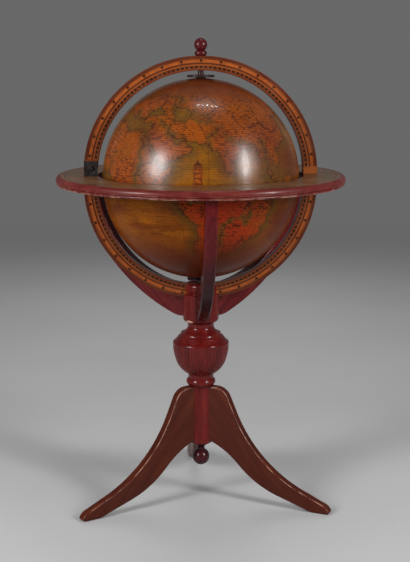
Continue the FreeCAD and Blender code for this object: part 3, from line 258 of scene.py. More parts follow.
def plank_wood(name, tones, azimuth, half, slope, roughness, worn, shade_levels=None):
    """A sawn plank that stands at an azimuth: grain along its slope, and on its upper rounded edges a pale
    line that is partly wear and partly painted highlight.

    Its last argument gives the two levels between which painted shade darkens it downwards.
    """
    shader = Shader(name, Specular_IOR_Level=0.18, Coat_Weight=0.06, Coat_Roughness=0.16)
    local = shader.move(shader.point(), rotation=(0.0, 0.0, -math.radians(azimuth)))
    along = shader.move(local, rotation=(0.0, math.radians(slope), 0.0))
    color, pores = grained(shader, shader.move(along, scale=(7.0, 70.0, 70.0)), tones)
    patches = shader.noise(local, 9.0, detail=4.0, roughness=0.6)
    color = shader.over(color, tones[0], shader.ease(patches, 0.35, 0.75, 0.0, 0.4))
    # Painted shade: the plank darkens downwards between the two levels
    if shade_levels:
        lower = shader.ease(shader.split(local)[2], *shade_levels)
        color = shader.over(color, DOWNWARD_SHADE_TONE, lower, shader.ease(patches, 0.3, 0.6, 0.7, 0.95))
    # Pale line on the upper rounded edges: partly worn lacquer, partly painted highlight, kept to roundings
    # that face up towards the lamps
    aside = shader.maths("ABSOLUTE", shader.split(local)[1])
    upwards = shader.split(shader.normal())[2]
    rounding = shader.band(aside, half - 0.0019, half - 0.0009, 0.0005)
    edge = shader.product(rounding, shader.ease(upwards, 0.12, 0.45))
    rubbed = shader.noise(shader.move(along, scale=(1.0, 6.0, 6.0)), 21.0, detail=5.0, roughness=0.65)
    color = shader.over(color, PALE_WEAR_AND_HIGHLIGHT, edge, shader.ease(rubbed, 0.45, 0.60), worn)
    nicks = shader.cells(local, 55.0, output="Distance")
    color = shader.over(color, tones[2], shader.ease(nicks, 0.07, 0.03), shader.ease(patches, 0.5, 0.62), 0.5)
    gloss = shader.ease(patches, 0.3, 0.75, *roughness)
    return shader.done(color, gloss, pores, depth=0.00015, strength=0.6)


def rim_wear(shader, point):
    """Rubbed lacquer along the two lower edges of the horizon ring."""
    x, y, z = shader.split(point)
    low = HORIZON_LOW.z
    edges = shader.most(shader.near(z, low + 0.0008, 0.0007, 0.0004),
                        shader.product(shader.near(z, low + 0.0064, 0.0004, 0.0003), 0.7),
                        shader.product(shader.near(z, low + 0.0030, 0.0006, 0.0006), 0.3))
    outside = shader.ease(shader.span(x, y), HORIZON_OUTER - 0.008, HORIZON_OUTER - 0.005)
    rubbed = shader.noise(point, 42.0, detail=5.0, roughness=0.7)
    return shader.product(edges, outside, shader.ease(rubbed, 0.46, 0.62), 0.9)


HUB_CHIP = (-0.0262, -0.0262, 0.3795)
HUB_CHIP_SPREAD = (95.0, 95.0, 330.0)


def hub_chip(shader, point):
    """Bare wood where the hub's lower edge is chipped."""
    place = shader.move(point, location=tuple(-c * s for c, s in zip(HUB_CHIP, HUB_CHIP_SPREAD)),
                        scale=HUB_CHIP_SPREAD)
    reach = shader.add("ShaderNodeVectorMath", {0: place}, operation="LENGTH").outputs["Value"]
    ragged = shader.plus(reach, shader.noise(point, 180.0), 0.9)
    return shader.ease(ragged, 1.35, 1.2)


# Metal, felt, paper lining

def metal(name, tones, roughness, metallic):
    shader = Shader(name, Metallic=metallic)
    point = shader.point()
    brushed = shader.noise(shader.move(point, scale=(300.0, 300.0, 40.0)), 1.0)
    soil = shader.noise(point, 60.0, detail=4.0, roughness=0.65)
    mixed = shader.plus(shader.product(brushed, 0.4), soil, 0.6)
    color = shader.ramp(mixed, list(zip((0.3, 0.5, 0.7), tones)))
    return shader.done(color, shader.ease(soil, 0.3, 0.7, *roughness), brushed, depth=0.00005, strength=0.4)


def felt():
    shader = Shader("felt", Sheen_Weight=0.4, Sheen_Roughness=0.6)
    fibres = shader.noise(shader.point(), 900.0, detail=4.0, roughness=0.7)
    color = shader.ramp(fibres, [(0.3, (0.040, 0.012, 0.006)), (0.7, (0.085, 0.030, 0.014))])
    return shader.done(color, shader.ease(fibres, 0.3, 0.7, 0.85, 1.0), fibres, depth=0.0004)


def lining():
    """Varnished paper inside the globe, laid in gores."""
    shader = Shader("globe_lining", Coat_Weight=0.15, Coat_Roughness=0.3)
    point = shader.point()
    x, y, _ = shader.split(point)
    seam = shader.every(shader.maths("ARCTAN2", y, x), math.radians(30.0), 0.004, 0.003)
    mottle = shader.noise(point, 18.0, detail=5.0, roughness=0.6)
    fibre = shader.noise(point, 420.0, detail=2.0)
    color = shader.ramp(mottle, [(0.3, (0.150, 0.072, 0.026)), (0.55, (0.235, 0.130, 0.052)),
                                 (0.75, (0.290, 0.175, 0.080))])
    color = shader.over(color, (0.070, 0.030, 0.012), seam, 0.5)
    return shader.done(color, shader.ease(mottle, 0.3, 0.7, 0.38, 0.55), fibre, depth=0.0001, strength=0.4)


def board_edge():
    """The cut edge of the cardboard shell."""
    shader = Shader("globe_board_edge")
    plies = shader.noise(shader.point(), 500.0)
    color = shader.ramp(plies, [(0.35, (0.120, 0.060, 0.024)), (0.65, (0.260, 0.150, 0.070))])
    return shader.done(color, shader.ease(plies, 0.3, 0.7, 0.6, 0.8), plies, depth=0.0002)


# Printed degree scale on the half meridians

INK = (0.012, 0.0045, 0.0025)
SCALE_LINES = (0.09, 0.155, 0.225, 0.485, 0.565, 0.70, 0.86)
BARE_ORANGE = (0.300, 0.078, 0.0130)
BAR_ORANGE = (0.320, 0.072, 0.0110)
ROW_ORANGE = (0.270, 0.062, 0.0100)
SHADED_BROWN = (0.060, 0.014, 0.0045)
BORDER_BROWN = (0.085, 0.015, 0.0060)
STAIN_BROWN = (0.085, 0.020, 0.0060)


def printed_scale(name, centre, plain_end):
    """A printed scale: orange bars with a dot each ten degrees, fine lines, dashes and a plain right end."""
    shader = Shader(name, Coat_Weight=0.15, Coat_Roughness=0.14)
    point = shader.point()
    x, _, z = shader.split(point)
    rise = shader.maths("SUBTRACT", z, centre)
    radius = shader.span(x, rise)
    turn = shader.bearing(x, rise)
    across = shader.maths("DIVIDE", shader.maths("SUBTRACT", SCALE_OUTER, radius), SCALE_WIDTH)
    aged = shader.noise(point, 30.0, detail=5.0, roughness=0.6)
    paper = shader.ramp(aged, [(0.3, (0.120, 0.024, 0.0060)), (0.55, (0.175, 0.040, 0.0085)),
                               (0.75, (0.230, 0.062, 0.0130))])
    between = shader.maths("PINGPONG", turn, 5.0)
    bar = shader.product(shader.band(across, 0.25, 0.47, 0.012), shader.ease(between, 0.45, 0.75))
    patchy = shader.noise(point, 75.0, roughness=0.6)
    color = shader.over(paper, BAR_ORANGE, bar, shader.ease(patchy, 0.3, 0.7, 0.45, 1.0))
    color = shader.over(color, SHADED_BROWN, shader.band(across, 0.49, 0.56, 0.015), 0.7)
    row = shader.band(across, 0.58, 0.68, 0.015)
    color = shader.over(color, ROW_ORANGE, row, shader.ease(patchy, 0.3, 0.7, 0.3, 0.9))
    border = shader.most(shader.ease(across, 0.17, 0.11), shader.ease(across, 0.91, 0.95))
    color = shader.over(color, BORDER_BROWN, border, 0.8)
    ticks = shader.product(shader.every(turn, 1.0, 0.16, 0.06), shader.band(across, 0.485, 0.545, 0.008))
    lines = shader.most(*(shader.near(across, place, 0.013, 0.012) for place in SCALE_LINES))
    dots = shader.product(shader.ease(between, 0.85, 0.55), shader.near(across, 0.31, 0.055, 0.02))
    dashes = shader.product(shader.every(turn, 2.5, 0.82, 0.12), shader.band(across, 0.722, 0.842, 0.010))
    ink = shader.most(shader.product(lines, 0.85), dots, dashes, shader.product(ticks, 0.6))
    color = shader.over(color, INK, ink, shader.ease(patchy, 0.25, 0.5, 0.85, 1.0))
    plain = shader.ease(turn, plain_end + 0.8, plain_end - 0.8)
    color = shader.over(color, BARE_ORANGE, plain, 0.85)
    color = shader.over(color, STAIN_BROWN, shader.ease(aged, 0.5, 0.8, 0.0, 0.4))
    return shader.done(color, shader.ease(aged, 0.3, 0.75, 0.24, 0.40), aged, depth=0.0002, strength=0.3)


CHART_RED = (0.160, 0.052, 0.028)
CHART_OLIVE = (0.070, 0.062, 0.026)
CHART_INK = (0.018, 0.011, 0.007)
CHART_RUBBED = (0.060, 0.036, 0.024)
CHART_RINGS = (0.06, 0.09, 0.20, 0.30, 0.52, 0.60, 0.76, 0.86, 0.91)
# Period, half width and softness in degrees, and inner and outer end, of the chart's rows of ticks
CHART_TICKS = ((1.0, 0.10, 0.04, 0.09, 0.14), (5.0, 0.10, 0.04, 0.09, 0.20), (30.0, 0.12, 0.05, 0.20, 0.86),
               (10.0, 0.10, 0.04, 0.52, 0.86), (2.0, 0.5, 0.08, 0.87, 0.90))


def printed_chart():
    """The chart on the horizon ring: rings, ticks and tinted sectors, browned by age."""
    shader = Shader("horizon_chart_print", Coat_Weight=0.08, Coat_Roughness=0.2)
    point = shader.point()
    x, y, _ = shader.split(point)
    turn = shader.bearing(x, y)
    outwards = shader.maths("SUBTRACT", shader.span(x, y), CHART_INNER)
    across = shader.maths("DIVIDE", outwards, CHART_OUTER - CHART_INNER)
    aged = shader.noise(point, 16.0, detail=6.0, roughness=0.65)
    paper = shader.ramp(aged, [(0.3, (0.080, 0.034, 0.014)), (0.52, (0.140, 0.065, 0.027)),
                               (0.74, (0.200, 0.105, 0.050))])
    sector = shader.maths("PINGPONG", shader.maths("ADD", turn, 15.0), 30.0)
    tint = shader.product(shader.ease(sector, 14.6, 15.4), shader.band(across, 0.30, 0.52, 0.01))
    color = shader.over(paper, CHART_RED, tint, 0.45)
    olive = shader.product(shader.ease(sector, 15.4, 14.6), shader.band(across, 0.60, 0.76, 0.01))
    color = shader.over(color, CHART_OLIVE, olive, 0.4)
    rings = (shader.near(across, place, 0.007, 0.005) for place in CHART_RINGS)
    ticks = (shader.product(shader.every(turn, period, half, soft), shader.band(across, low, high, 0.004))
             for period, half, soft, low, high in CHART_TICKS)
    ink = shader.most(*rings, *ticks)
    color = shader.over(color, CHART_INK, ink, 0.7)
    rubbed = shader.noise(point, 60.0, detail=5.0, roughness=0.7)
    color = shader.over(color, CHART_RUBBED, shader.ease(rubbed, 0.55, 0.75, 0.0, 0.45))
    return shader.done(color, shader.ease(aged, 0.3, 0.75, 0.26, 0.46), rubbed, depth=0.0002, strength=0.3)


# The map. Coasts are rough outlines in degrees of longitude and latitude.

COASTS = {
    "eurasia": """36 36 30 36.5 27 37 26 40 29 41 23 38 19.5 41 13.5 45.5 16 41.5 18 40 16 38 12.5 42
        9 44.3 3.5 43.3 0 39.5 -2 36.8 -5.5 36 -9 37 -9.3 39 -9 43 -1.5 43.4 -1.2 46 -4.7 48.4 1.5 50.3
        4.5 52.5 8.5 54 8 57 10.5 57.5 10.5 54 14 54 19 54.5 21.5 57.5 24 59.3 30 60 23 60 21.5 63 25 65.5
        22 65.7 17.3 61 18.5 59.8 16.5 57 14.2 55.5 12.8 55.6 11.3 58.9 7.5 58 5 60 8 63.5 14 67.5 20 70
        28 71 33 69.4 41 67 40 64.5 44 66 44 68.5 54 68.5 60 69.5 68 68.7 68 73 74 72 73 68.5 77 72
        88 75.3 104 77.7 113 74 127 73.3 140 72.5 160 69.8 178 69 190 66 180 64.5 177.5 62.5 163 60 163 56
        157 51 156 57 163 61.5 155 59.4 142 59.2 135.5 54.8 141 53 140 48 135.5 44 130.5 42.5 127.5 39.5
        129.3 36 126.5 34.5 126 37.5 124.5 40 121.5 39 118 39 122.5 37 119.3 35 121.8 31.5 120 26.5
        117 23.5 110.5 21 108 21.5 105.8 19 108.5 15.5 109.2 12 105 8.8 102.5 12.3 100.5 13.4 99.3 10
        103.3 4 104 1.4 101 3 98.3 8.2 98.5 14 97.3 16.8 94.3 16 94 19 91.5 22.6 87 21.3 82.3 16.6 80.2 15
        80 12 79 10 77.5 8 76 11 73.5 16 72.8 20.5 70.2 20.8 69 22.3 67 25 61.5 25.2 57.3 25.7 56.5 27
        52 27.7 49 30.2 48 29.8 50 26.5 51.5 24.5 54 24.2 56.3 26.2 56.7 24.2 59.8 22.4 57.8 19 52.2 15.6
        45 12.8 43.2 13 42.8 16 39.1 21.3 35 28 34.9 29.5 34.3 27.8 32.6 29.9 32.4 31.2 34.5 31.6""",
    "africa": """32.4 31.2 29 31 25 31.7 20 31 19 30.3 15.3 32.3 11 33.5 10.5 37 0 36 -5.8 35.8 -9.8 31
        -13 27.5 -17 21 -16.5 16 -17.3 14.7 -15 11 -12.5 7.5 -7.5 4.4 -2 4.8 4 6.4 6 4.3 9.3 4.2 9.5 1
        8.8 -0.7 12 -5 13.5 -9 13.4 -12.5 11.8 -17 14.5 -22.7 15.2 -27 18.2 -32 18.4 -34.3 20 -34.8
        25.8 -34 30 -31 32.8 -27 35.5 -24 34.8 -20 40 -16 40.5 -10.5 39 -6 41.5 -1.7 46 2.3 50.8 9.5
        51.2 11.9 44.5 10.5 43 12.5 39.5 15.5 37.2 19.5 35.5 24 33.8 27 32.6 29.9""",
    "south_america": """-77.5 8.5 -75 10.8 -71.8 12.3 -64 10.5 -58 8.5 -50 5 -47 0.5 -41 -2.5 -36 -3.5
        -31.5 -6 -30.5 -11 -33 -16 -34 -22 -37 -27 -41 -30 -44 -34 -47.5 -38 -51.5 -41 -56.5 -40 -56 -43
        -60.5 -46 -63.5 -47.5 -64 -50 -66.5 -53 -67.5 -55 -65.5 -57 -71 -57 -74.5 -53 -75 -48 -73.5 -43
        -73 -38 -71.5 -31 -70.3 -24 -70.3 -18.3 -76 -14 -79.5 -8 -81.2 -5 -80.3 -2 -79.5 1 -77.5 4
        -77.8 7.2""",
    "north_america": """-77.5 8.5 -79.5 9.2 -83 9.5 -83.5 14.8 -86 15.9 -88.5 15.9 -87.3 20.5 -90 21.2
        -91 18.7 -95 18.5 -97.5 22 -97.3 27 -94 29.5 -89.5 29.5 -84 30 -82.5 27.5 -81 25.3 -80.3 27.5
        -81.3 31.5 -76 35 -74 40.3 -70 42 -67 44.6 -61 45.7 -65 48.5 -58 50.5 -56 53 -61.5 57 -65 60
        -70 61.3 -78 62.3 -77 57 -80 52 -88 56.5 -94.5 58.7 -94 61 -87 64 -82 69 -95 72 -108 68 -125 70
        -141 69.7 -156.5 71.2 -166 68.3 -162 66.3 -168 65.6 -161 64.5 -165.5 61.5 -158 58.5 -163 55
        -152 59 -147 60.9 -139 59.6 -131 54.8 -124 48.5 -124 43 -121 35 -117 32.5 -112.5 26 -109.7 23
        -112 29 -114.8 31.7 -110 26 -105.5 20.5 -101 17.3 -94.5 16.2 -88 13 -85.5 10 -82.5 8.2 -80 7.3""",
    "greenland": "-45 60 -52 64 -54 70 -60 76 -70 77.5 -60 82 -33 83.5 -18 80 -20 74 -25 70 -40 65",
    "australia": """113.5 -22 115 -34 118 -35 124 -33 131.5 -31.5 137.5 -35 140 -38 146.5 -39 150 -37.3
        153.3 -29 153 -25 146 -19 145.3 -15 142.5 -11 140.8 -17.5 136 -15.5 136.8 -12.2 131 -12 128.5 -15
        122 -18""",
    "borneo": "109 1.5 110.2 -2.8 116 -4 119 1 117 6.8",
    "sumatra": "95.3 5.6 106 -5.8 104 -2 98 3.5",
    "madagascar": "44 -20 44.3 -16 49.5 -12.2 50.3 -15.8 47 -25 44.3 -24.5",
    "new_guinea": "131 -1 135 -3.3 144 -4 150.5 -10.5 143 -9 138 -8",
    "japan": "130 31.5 131 34.3 137 37 140 41.5 141.8 39.5 140.8 35.8 135.5 33.6",
    "britain": "-5.5 50.1 1.4 51.3 -2 55.8 -3 58.6 -6 56.7 -3 54 -5 52",
    "ceylon": "79.8 8 80.2 6 81.8 7 80.5 9.6",
    "new_zealand": "173 -34.5 178 -38 174 -41.5 170 -46 167 -45.5 172.5 -40.8",
}
INLAND_SEAS = {
    "caspian": "49 38 54 37.5 58 41 58.5 45.5 54 48 49 47.5 46.5 44.5 47 41",
    "black_sea": "28 41.5 29 44.5 33 46 37 47 39 44 41.5 41.7 35 42",
}
SOUTHERN_LAND = -70.0
RIVERS = (
    "31.5 31 31 27 33 22 31.5 18 33 14 32 8 30 2 31 -4",
    "48 30.5 46 32 43.5 34.5 40 37.5",
    "67.5 24.5 69 28 71 31 74 35",
    "89.5 22.5 87 25 81 25.5 77.5 29.5",
    "59 43.5 61 41 65 38 70 37.5 69 42 64 43.5 60 45.5",
    "48.5 46 45 49 49.5 53.5 47 56.5 40 57",
    "100 14 99 20 98 27",
    "-50 0.5 -58 -3 -66 -3.5 -73 -6",
    "-58.5 -34 -59 -28 -57 -20 -53 -16",
    "-44 -13 -45 -19 -48 -16",
)
MAP_SWELL = 0.16
# Longitude, latitude and spread in degrees of the lands with a rosy wash and of the seas that have gone brown
ROSY_LANDS = ((47, 21, 10), (78, 18, 9), (-62, -14, 17), (15, 48, 11), (104, 24, 9), (-100, 38, 14),
              (20, 5, 12))
DUSKY_SEAS = ((-12, -22, 26), (-95, -60, 24), (-40, -62, 24), (118, 12, 12), (-150, 0, 30))
METRES_PER_DEGREE = GLOBE_RADIUS * math.radians(1.0)
FAR = 1e9
TINY = 1e-9


def corners_of(text):
    """The corners of a line as rows of longitude and latitude."""
    return np.array([float(word) for word in text.split()]).reshape(-1, 2)


def softened(corners):
    """The corners of a closed coast, each cut once so that the line is softer."""
    following = np.roll(corners, -1, axis=0)
    cut = np.stack((0.75 * corners + 0.25 * following, 0.25 * corners + 0.75 * following), axis=1)
    return cut.reshape(-1, 2)


def beside(longitude, middle):
    """The longitude within half a turn of a middle."""
    return (longitude - middle + 180.0) % 360.0 - 180.0 + middle


def stretch_distance(longitude, latitude, start, end):
    """Distance in degrees from each place to a straight stretch."""
    shrink = np.cos(np.radians(latitude))
    ax, ay = (start[0] - longitude) * shrink, start[1] - latitude
    bx, by = (end[0] - start[0]) * shrink, end[1] - start[1]
    along = np.clip(-(ax * bx + ay * by) / (bx * bx + by * by + TINY), 0.0, 1.0)
    return np.hypot(ax + along * bx, ay + along * by)


def coast_distance(longitude, latitude, corners):
    """Signed distance in degrees from each place to a closed coast, positive inside it."""
    least = np.full(longitude.shape, FAR)
    inside = np.zeros(longitude.shape, bool)
    longitude = beside(longitude, (corners[:, 0].min() + corners[:, 0].max()) / 2)
    for start, end in zip(corners, np.roll(corners, -1, axis=0)):
        least = np.minimum(least, stretch_distance(longitude, latitude, start, end))
        if start[1] != end[1]:
            crosses = (start[1] > latitude) != (end[1] > latitude)
            meets = start[0] + (latitude - start[1]) * (end[0] - start[0]) / (end[1] - start[1])
            inside ^= crosses & (longitude < meets)
    return np.where(inside, least, -least)


def line_distance(longitude, latitude, corners):
    """Distance in degrees from each place to an open line."""
    least = np.full(longitude.shape, FAR)
    longitude = beside(longitude, corners[0, 0])
    for start, end in zip(corners[:-1], corners[1:]):
        least = np.minimum(least, stretch_distance(longitude, latitude, start, end))
    return least


def crinkle(longitude, latitude):
    """Small steady shifts in degrees that break up straight stretches of coast."""
    a, b = np.radians(longitude), np.radians(latitude)
    east = (0.7 * np.sin(23 * b + 4 * np.sin(11 * a)) + 0.45 * np.sin(47 * b + 19 * a)
            + 0.25 * np.sin(95 * b - 31 * a))
    north = (0.6 * np.sin(21 * a + 3 * np.cos(13 * b)) + 0.4 * np.sin(53 * a - 17 * b)
             + 0.25 * np.sin(89 * a + 37 * b))
    return longitude + east, latitude + north


def wash(longitude, latitude, patches):
    """The share of a soft-edged wash at each place."""
    share = np.zeros(longitude.shape)
    for east, north, spread in patches:
        eastwards = (beside(longitude, east) - east) * np.cos(np.radians(latitude))
        gap = np.hypot(eastwards, latitude - north)
        share = np.maximum(share, np.exp(-(gap / spread) ** 2))
    return share


def widened(longitude, front):
    """Longitudes that draw the map a little larger at the front and smaller at the back."""
    return longitude - MAP_SWELL * np.degrees(np.sin(np.radians(longitude - front)))


def map_values(longitude, latitude):
    """For each place its distances from coast and river in metres, coast positive on land, and its washes."""
    shifted, raised = crinkle(longitude, latitude)
    land = np.full(raised.shape, -FAR)
    for text in COASTS.values():
        land = np.maximum(land, coast_distance(shifted, raised, softened(corners_of(text))))
    for text in INLAND_SEAS.values():
        land = np.minimum(land, -coast_distance(shifted, raised, softened(corners_of(text))))
    land = np.maximum(land, SOUTHERN_LAND - raised)
    river = np.full(raised.shape, FAR)
    for text in RIVERS:
        river = np.minimum(river, line_distance(shifted, raised, corners_of(text)))
    return {"coast": land * METRES_PER_DEGREE, "river": river * METRES_PER_DEGREE,
            "rosy": wash(longitude, latitude, ROSY_LANDS), "dusky": wash(longitude, latitude, DUSKY_SEAS)}


# Tones of each half: open sea, its darker streaks, land, its second wash, rosy wash
UPPER_TONES = ((0.225, 0.0760, 0.0016), (0.130, 0.0520, 0.0026), (0.245, 0.0520, 0.0012),
               (0.205, 0.0560, 0.0016), (0.255, 0.0500, 0.0060))
LOWER_TONES = ((0.250, 0.0720, 0.0010), (0.105, 0.0200, 0.0010), (0.290, 0.0340, 0.0018),
               (0.230, 0.0380, 0.0020), (0.310, 0.0260, 0.0030))
SHORE_OLIVE = (0.085, 0.0410, 0.0050)
BANK_OLIVE = (0.105, 0.0520, 0.0060)
MAP_INK = (0.022, 0.0070, 0.0022)
AGE_BROWN = (0.080, 0.0115, 0.0020)
ORNAMENT_RED = (0.290, 0.0520, 0.0040)
ORNAMENT_ASIDE = -1.6
GRID_STEP = GLOBE_RADIUS * math.radians(15.0)
GORE_WIDTH = GLOBE_RADIUS * math.radians(30.0)
COAT_SHARE = 0.4


def ornament(shader, east, north, fuzz):
    """Where a small worn ornament stands in the sea at the front, and where its dark marks are."""
    centre = GLOBE_RADIUS * math.radians(CAMERA_AZIMUTH - 90.0 + ORNAMENT_ASIDE)
    gap = shader.maths("ABSOLUTE", shader.maths("SUBTRACT", east, centre))
    ragged = shader.shaken(gap, fuzz, 0.009)
    roof = shader.ease(north, 0.040, 0.058, 0.0, 0.0095)
    inside = shader.ease(shader.maths("ADD", ragged, roof), 0.0100, 0.0080)
    bands = shader.every(shader.plus(north, fuzz, 0.004), 0.0105, 0.0016, 0.0010)
    broken = shader.ease(shader.plus(fuzz, gap, 12.0), 0.48, 0.60)
    top = shader.ease(north, 0.041, 0.044)
    return inside, shader.most(shader.product(bands, 0.9), shader.product(broken, 0.75), top)


def sea_print(shader, sheet, coast, patchy, open_sea, sea_streak):
    """Open sea with darker streaks, gone brown in places and olive along the shore."""
    streaks = shader.noise(shader.move(sheet, scale=(9.0, 34.0, 1.0)), 1.0, detail=4.0, roughness=0.6)
    sea = shader.over(open_sea, sea_streak, shader.ease(streaks, 0.42, 0.68, 0.0, 0.9))
    sea = shader.over(sea, AGE_BROWN, shader.attribute("dusky"), shader.ease(streaks, 0.3, 0.7, 0.75, 0.95))
    shore = shader.ease(shader.plus(coast, patchy, 0.010), -0.018, 0.004)
    return shader.over(sea, SHORE_OLIVE, shore, 0.85)


def land_print(shader, sheet, coast, river, patchy, land_wash, second_wash, rosy_wash):
    """Land in several washes, with frontiers, rivers between olive banks and an olive edge."""
    regions = shader.split(shader.cells(sheet, 14.0))
    land = shader.over(land_wash, second_wash, shader.ease(regions[0], 0.35, 0.65, 0.0, 0.9))
    second_blush = shader.ease(regions[1], 0.70, 0.8, 0.0, 0.45)
    blush = shader.plus(second_blush, shader.attribute("rosy"), 0.85)
    land = shader.over(land, rosy_wash, shader.maths("MINIMUM", blush, 1.0))
    bend = shader.product(patchy, 0.03)
    bent = shader.add("ShaderNodeVectorMath", {0: sheet, 1: bend}, operation="ADD").outputs[0]
    frontier = shader.cells(bent, 14.0, feature="DISTANCE_TO_EDGE", output="Distance")
    drawn = shader.ease(patchy, 0.47, 0.56)
    land = shader.over(land, AGE_BROWN, shader.ease(frontier, 0.10, 0.0), drawn, 0.4)
    land = shader.over(land, MAP_INK, shader.ease(frontier, 0.026, 0.012), drawn, 0.8)
    land = shader.over(land, BANK_OLIVE, shader.ease(river, 0.011, 0.002), 0.8)
    land = shader.over(land, MAP_INK, shader.ease(river, 0.0016, 0.0006), 0.7)
    return shader.over(land, SHORE_OLIVE, shader.ease(coast, 0.011, 0.0), 0.55)


def small_marks(shader, color, sheet, on_land):
    """Fine dark flecks, and rows of hills on the land."""
    strokes = shader.noise(shader.move(sheet, scale=(130.0, 300.0, 1.0)), 1.0, detail=2.0, roughness=0.7)
    clusters = shader.noise(shader.move(sheet, scale=(15.0, 30.0, 1.0), location=(3.1, 7.7, 0.0)), 1.0)
    flecks = shader.product(shader.ease(strokes, 0.50, 0.60), shader.ease(clusters, 0.38, 0.56, 0.3, 1.0),
                            shader.ease(on_land, 0.0, 1.0, 0.45, 1.0))
    color = shader.over(color, MAP_INK, flecks, 0.85)
    hills = shader.cells(shader.move(sheet, scale=(95.0, 130.0, 1.0)), 1.0, output="Distance")
    range_place = shader.move(sheet, scale=(11.0, 20.0, 1.0), location=(9.4, 2.2, 0.0))
    ranges = shader.noise(range_place, 1.0, detail=2.0)
    peaks = shader.product(shader.ease(hills, 0.26, 0.14), shader.ease(ranges, 0.52, 0.60), on_land, 0.8)
    return shader.over(color, MAP_INK, peaks)


def ruled_lines(shader, color, east, north, fuzz, broad):
    """Close wavy rules, the grid of the map and the seams of its gores."""
    rules = shader.every(shader.plus(north, fuzz, 0.0012), 0.0046, 0.0007, 0.0007)
    color = shader.over(color, AGE_BROWN, rules, shader.ease(broad, 0.35, 0.6, 0.3, 0.65))
    grid = shader.most(shader.every(east, GRID_STEP, 0.0004, 0.0004),
                       shader.every(north, GRID_STEP, 0.0004, 0.0004))
    color = shader.over(color, MAP_INK, grid, 0.45)
    seam = shader.every(east, GORE_WIDTH, 0.0006, 0.0012)
    return shader.over(color, AGE_BROWN, seam, 0.3)


def browned(shader, color, local, height, broad, patchy, polar_brown):
    """Darker brown towards the pole and the rim, brown stains, and dark specks."""
    off_equator = shader.maths("ABSOLUTE", height)
    polar = shader.ease(off_equator, *polar_brown, 0.0, 0.9)
    rim = shader.ease(off_equator, 0.07, 0.0, 0.0, 0.45)
    stained = shader.ease(broad, 0.45, 0.75, 0.0, 0.6)
    color = shader.over(color, AGE_BROWN, shader.most(polar, rim, stained))
    specks = shader.ease(shader.cells(local, 90.0, output="Distance"), 0.16, 0.08)
    return shader.over(color, MAP_INK, specks, shader.ease(patchy, 0.48, 0.58), 0.6)


def printed_globe(name, centre, seed, tones, gloss, polar_brown, has_ornament):
    """An old printed map under yellowed varnish; its coasts come from the mesh's own attributes."""
    shader = Shader(name, Specular_IOR_Level=gloss, Coat_Weight=COAT_SHARE * gloss, Coat_Roughness=0.06)
    local = shader.move(shader.point(), location=(0.0, 0.0, -centre))
    x, y, z = shader.split(local)
    east = shader.product(shader.maths("ARCTAN2", y, x), GLOBE_RADIUS)
    height = shader.maths("DIVIDE", z, GLOBE_RADIUS)
    north = shader.product(shader.maths("ARCSINE", shader.maths("MINIMUM", height, 1.0)), GLOBE_RADIUS)
    sheet = shader.join(east, north, seed)
    fuzz = shader.noise(local, 130.0, roughness=0.6)
    broad = shader.noise(local, 7.0, detail=5.0, roughness=0.6)
    patchy = shader.noise(local, 22.0, detail=5.0, roughness=0.65)
    coast = shader.shaken(shader.attribute("coast"), fuzz, 0.005)
    river = shader.shaken(shader.attribute("river"), fuzz, 0.004)
    on_land = shader.ease(coast, -0.0006, 0.0006)

    sea = sea_print(shader, sheet, coast, patchy, *tones[:2])
    land = land_print(shader, sheet, coast, river, patchy, *tones[2:])
    color = shader.over(sea, land, on_land)
    shoreline = shader.near(coast, 0.0, 0.0008, 0.0006)
    color = shader.over(color, MAP_INK, shoreline, shader.ease(fuzz, 0.36, 0.5, 0.35, 0.9))
    color = small_marks(shader, color, sheet, on_land)
    color = ruled_lines(shader, color, east, north, fuzz, broad)
    if has_ornament:
        inside, marks = ornament(shader, east, north, fuzz)
        color = shader.over(color, ORNAMENT_RED, inside, 0.7)
        color = shader.over(color, MAP_INK, inside, marks, 0.85)
    color = browned(shader, color, local, height, broad, patchy, polar_brown)

    uneven = shader.noise(local, 30.0, detail=2.0, roughness=0.4)
    return shader.done(color, shader.ease(patchy, 0.3, 0.7, 0.26, 0.36), uneven, depth=0.0012, strength=0.09)


# Meshes

def placed(name, data):
    """A new object in the scene."""
    made = bpy.data.objects.new(name, data)
    bpy.context.scene.collection.objects.link(made)
    return made


def arc(start, end, radius, side, count):
    """Points after start up to end along an arc whose centre lies on the given side of the way."""
    (x0, z0), (x1, z1) = start, end
    half = math.hypot(x1 - x0, z1 - z0) / 2
    ahead = math.atan2(z1 - z0, x1 - x0)
    sign = 1.0 if side == "left" else -1.0
    offset = math.sqrt(radius * radius - half * half)
    cx = (x0 + x1) / 2 - sign * math.sin(ahead) * offset
    cz = (z0 + z1) / 2 + sign * math.cos(ahead) * offset
    first = math.atan2(z0 - cz, x0 - cx)
    sweep = 2 * sign * math.asin(half / radius)
    angles = [first + sweep * step / count for step in range(1, count + 1)]
    return [(cx + radius * math.cos(angle), cz + radius * math.sin(angle)) for angle in angles]


def straight(start, end, count):
    """Points after start up to end along a line."""
    return list(np.linspace(start, end, count + 1)[1:])


def swept(name, radii, levels, slots, materials, sharp_angle):
    """A closed mesh of rings about the column's axis, with a row of radii for each ring."""
    rings, spokes = radii.shape
    angles = np.arange(spokes) * 2 * math.pi / spokes
    heights = np.repeat(levels[:, None], spokes, 1)
    points = np.stack((radii * np.cos(angles), radii * np.sin(angles), heights), axis=2)
    ring = np.arange(rings)[:, None]
    spoke = np.arange(spokes)[None, :]
    next_ring = (ring + 1) % rings
    next_spoke = (spoke + 1) % spokes
    faces = np.stack((ring * spokes + spoke, ring * spokes + next_spoke, next_ring * spokes + next_spoke,
                      next_ring * spokes + spoke), axis=2).reshape(-1, 4)
    mesh = bpy.data.meshes.new(name)
    mesh.from_pydata(points.reshape(-1, 3).tolist(), [], faces.tolist())
    for material in materials:
        mesh.materials.append(material)
    mesh.polygons.foreach_set("material_index", np.repeat(np.array(slots), spokes))
    mesh.shade_smooth()
    mesh.set_sharp_from_angle(angle=math.radians(sharp_angle))
    return placed(name, mesh), points.reshape(-1, 3)


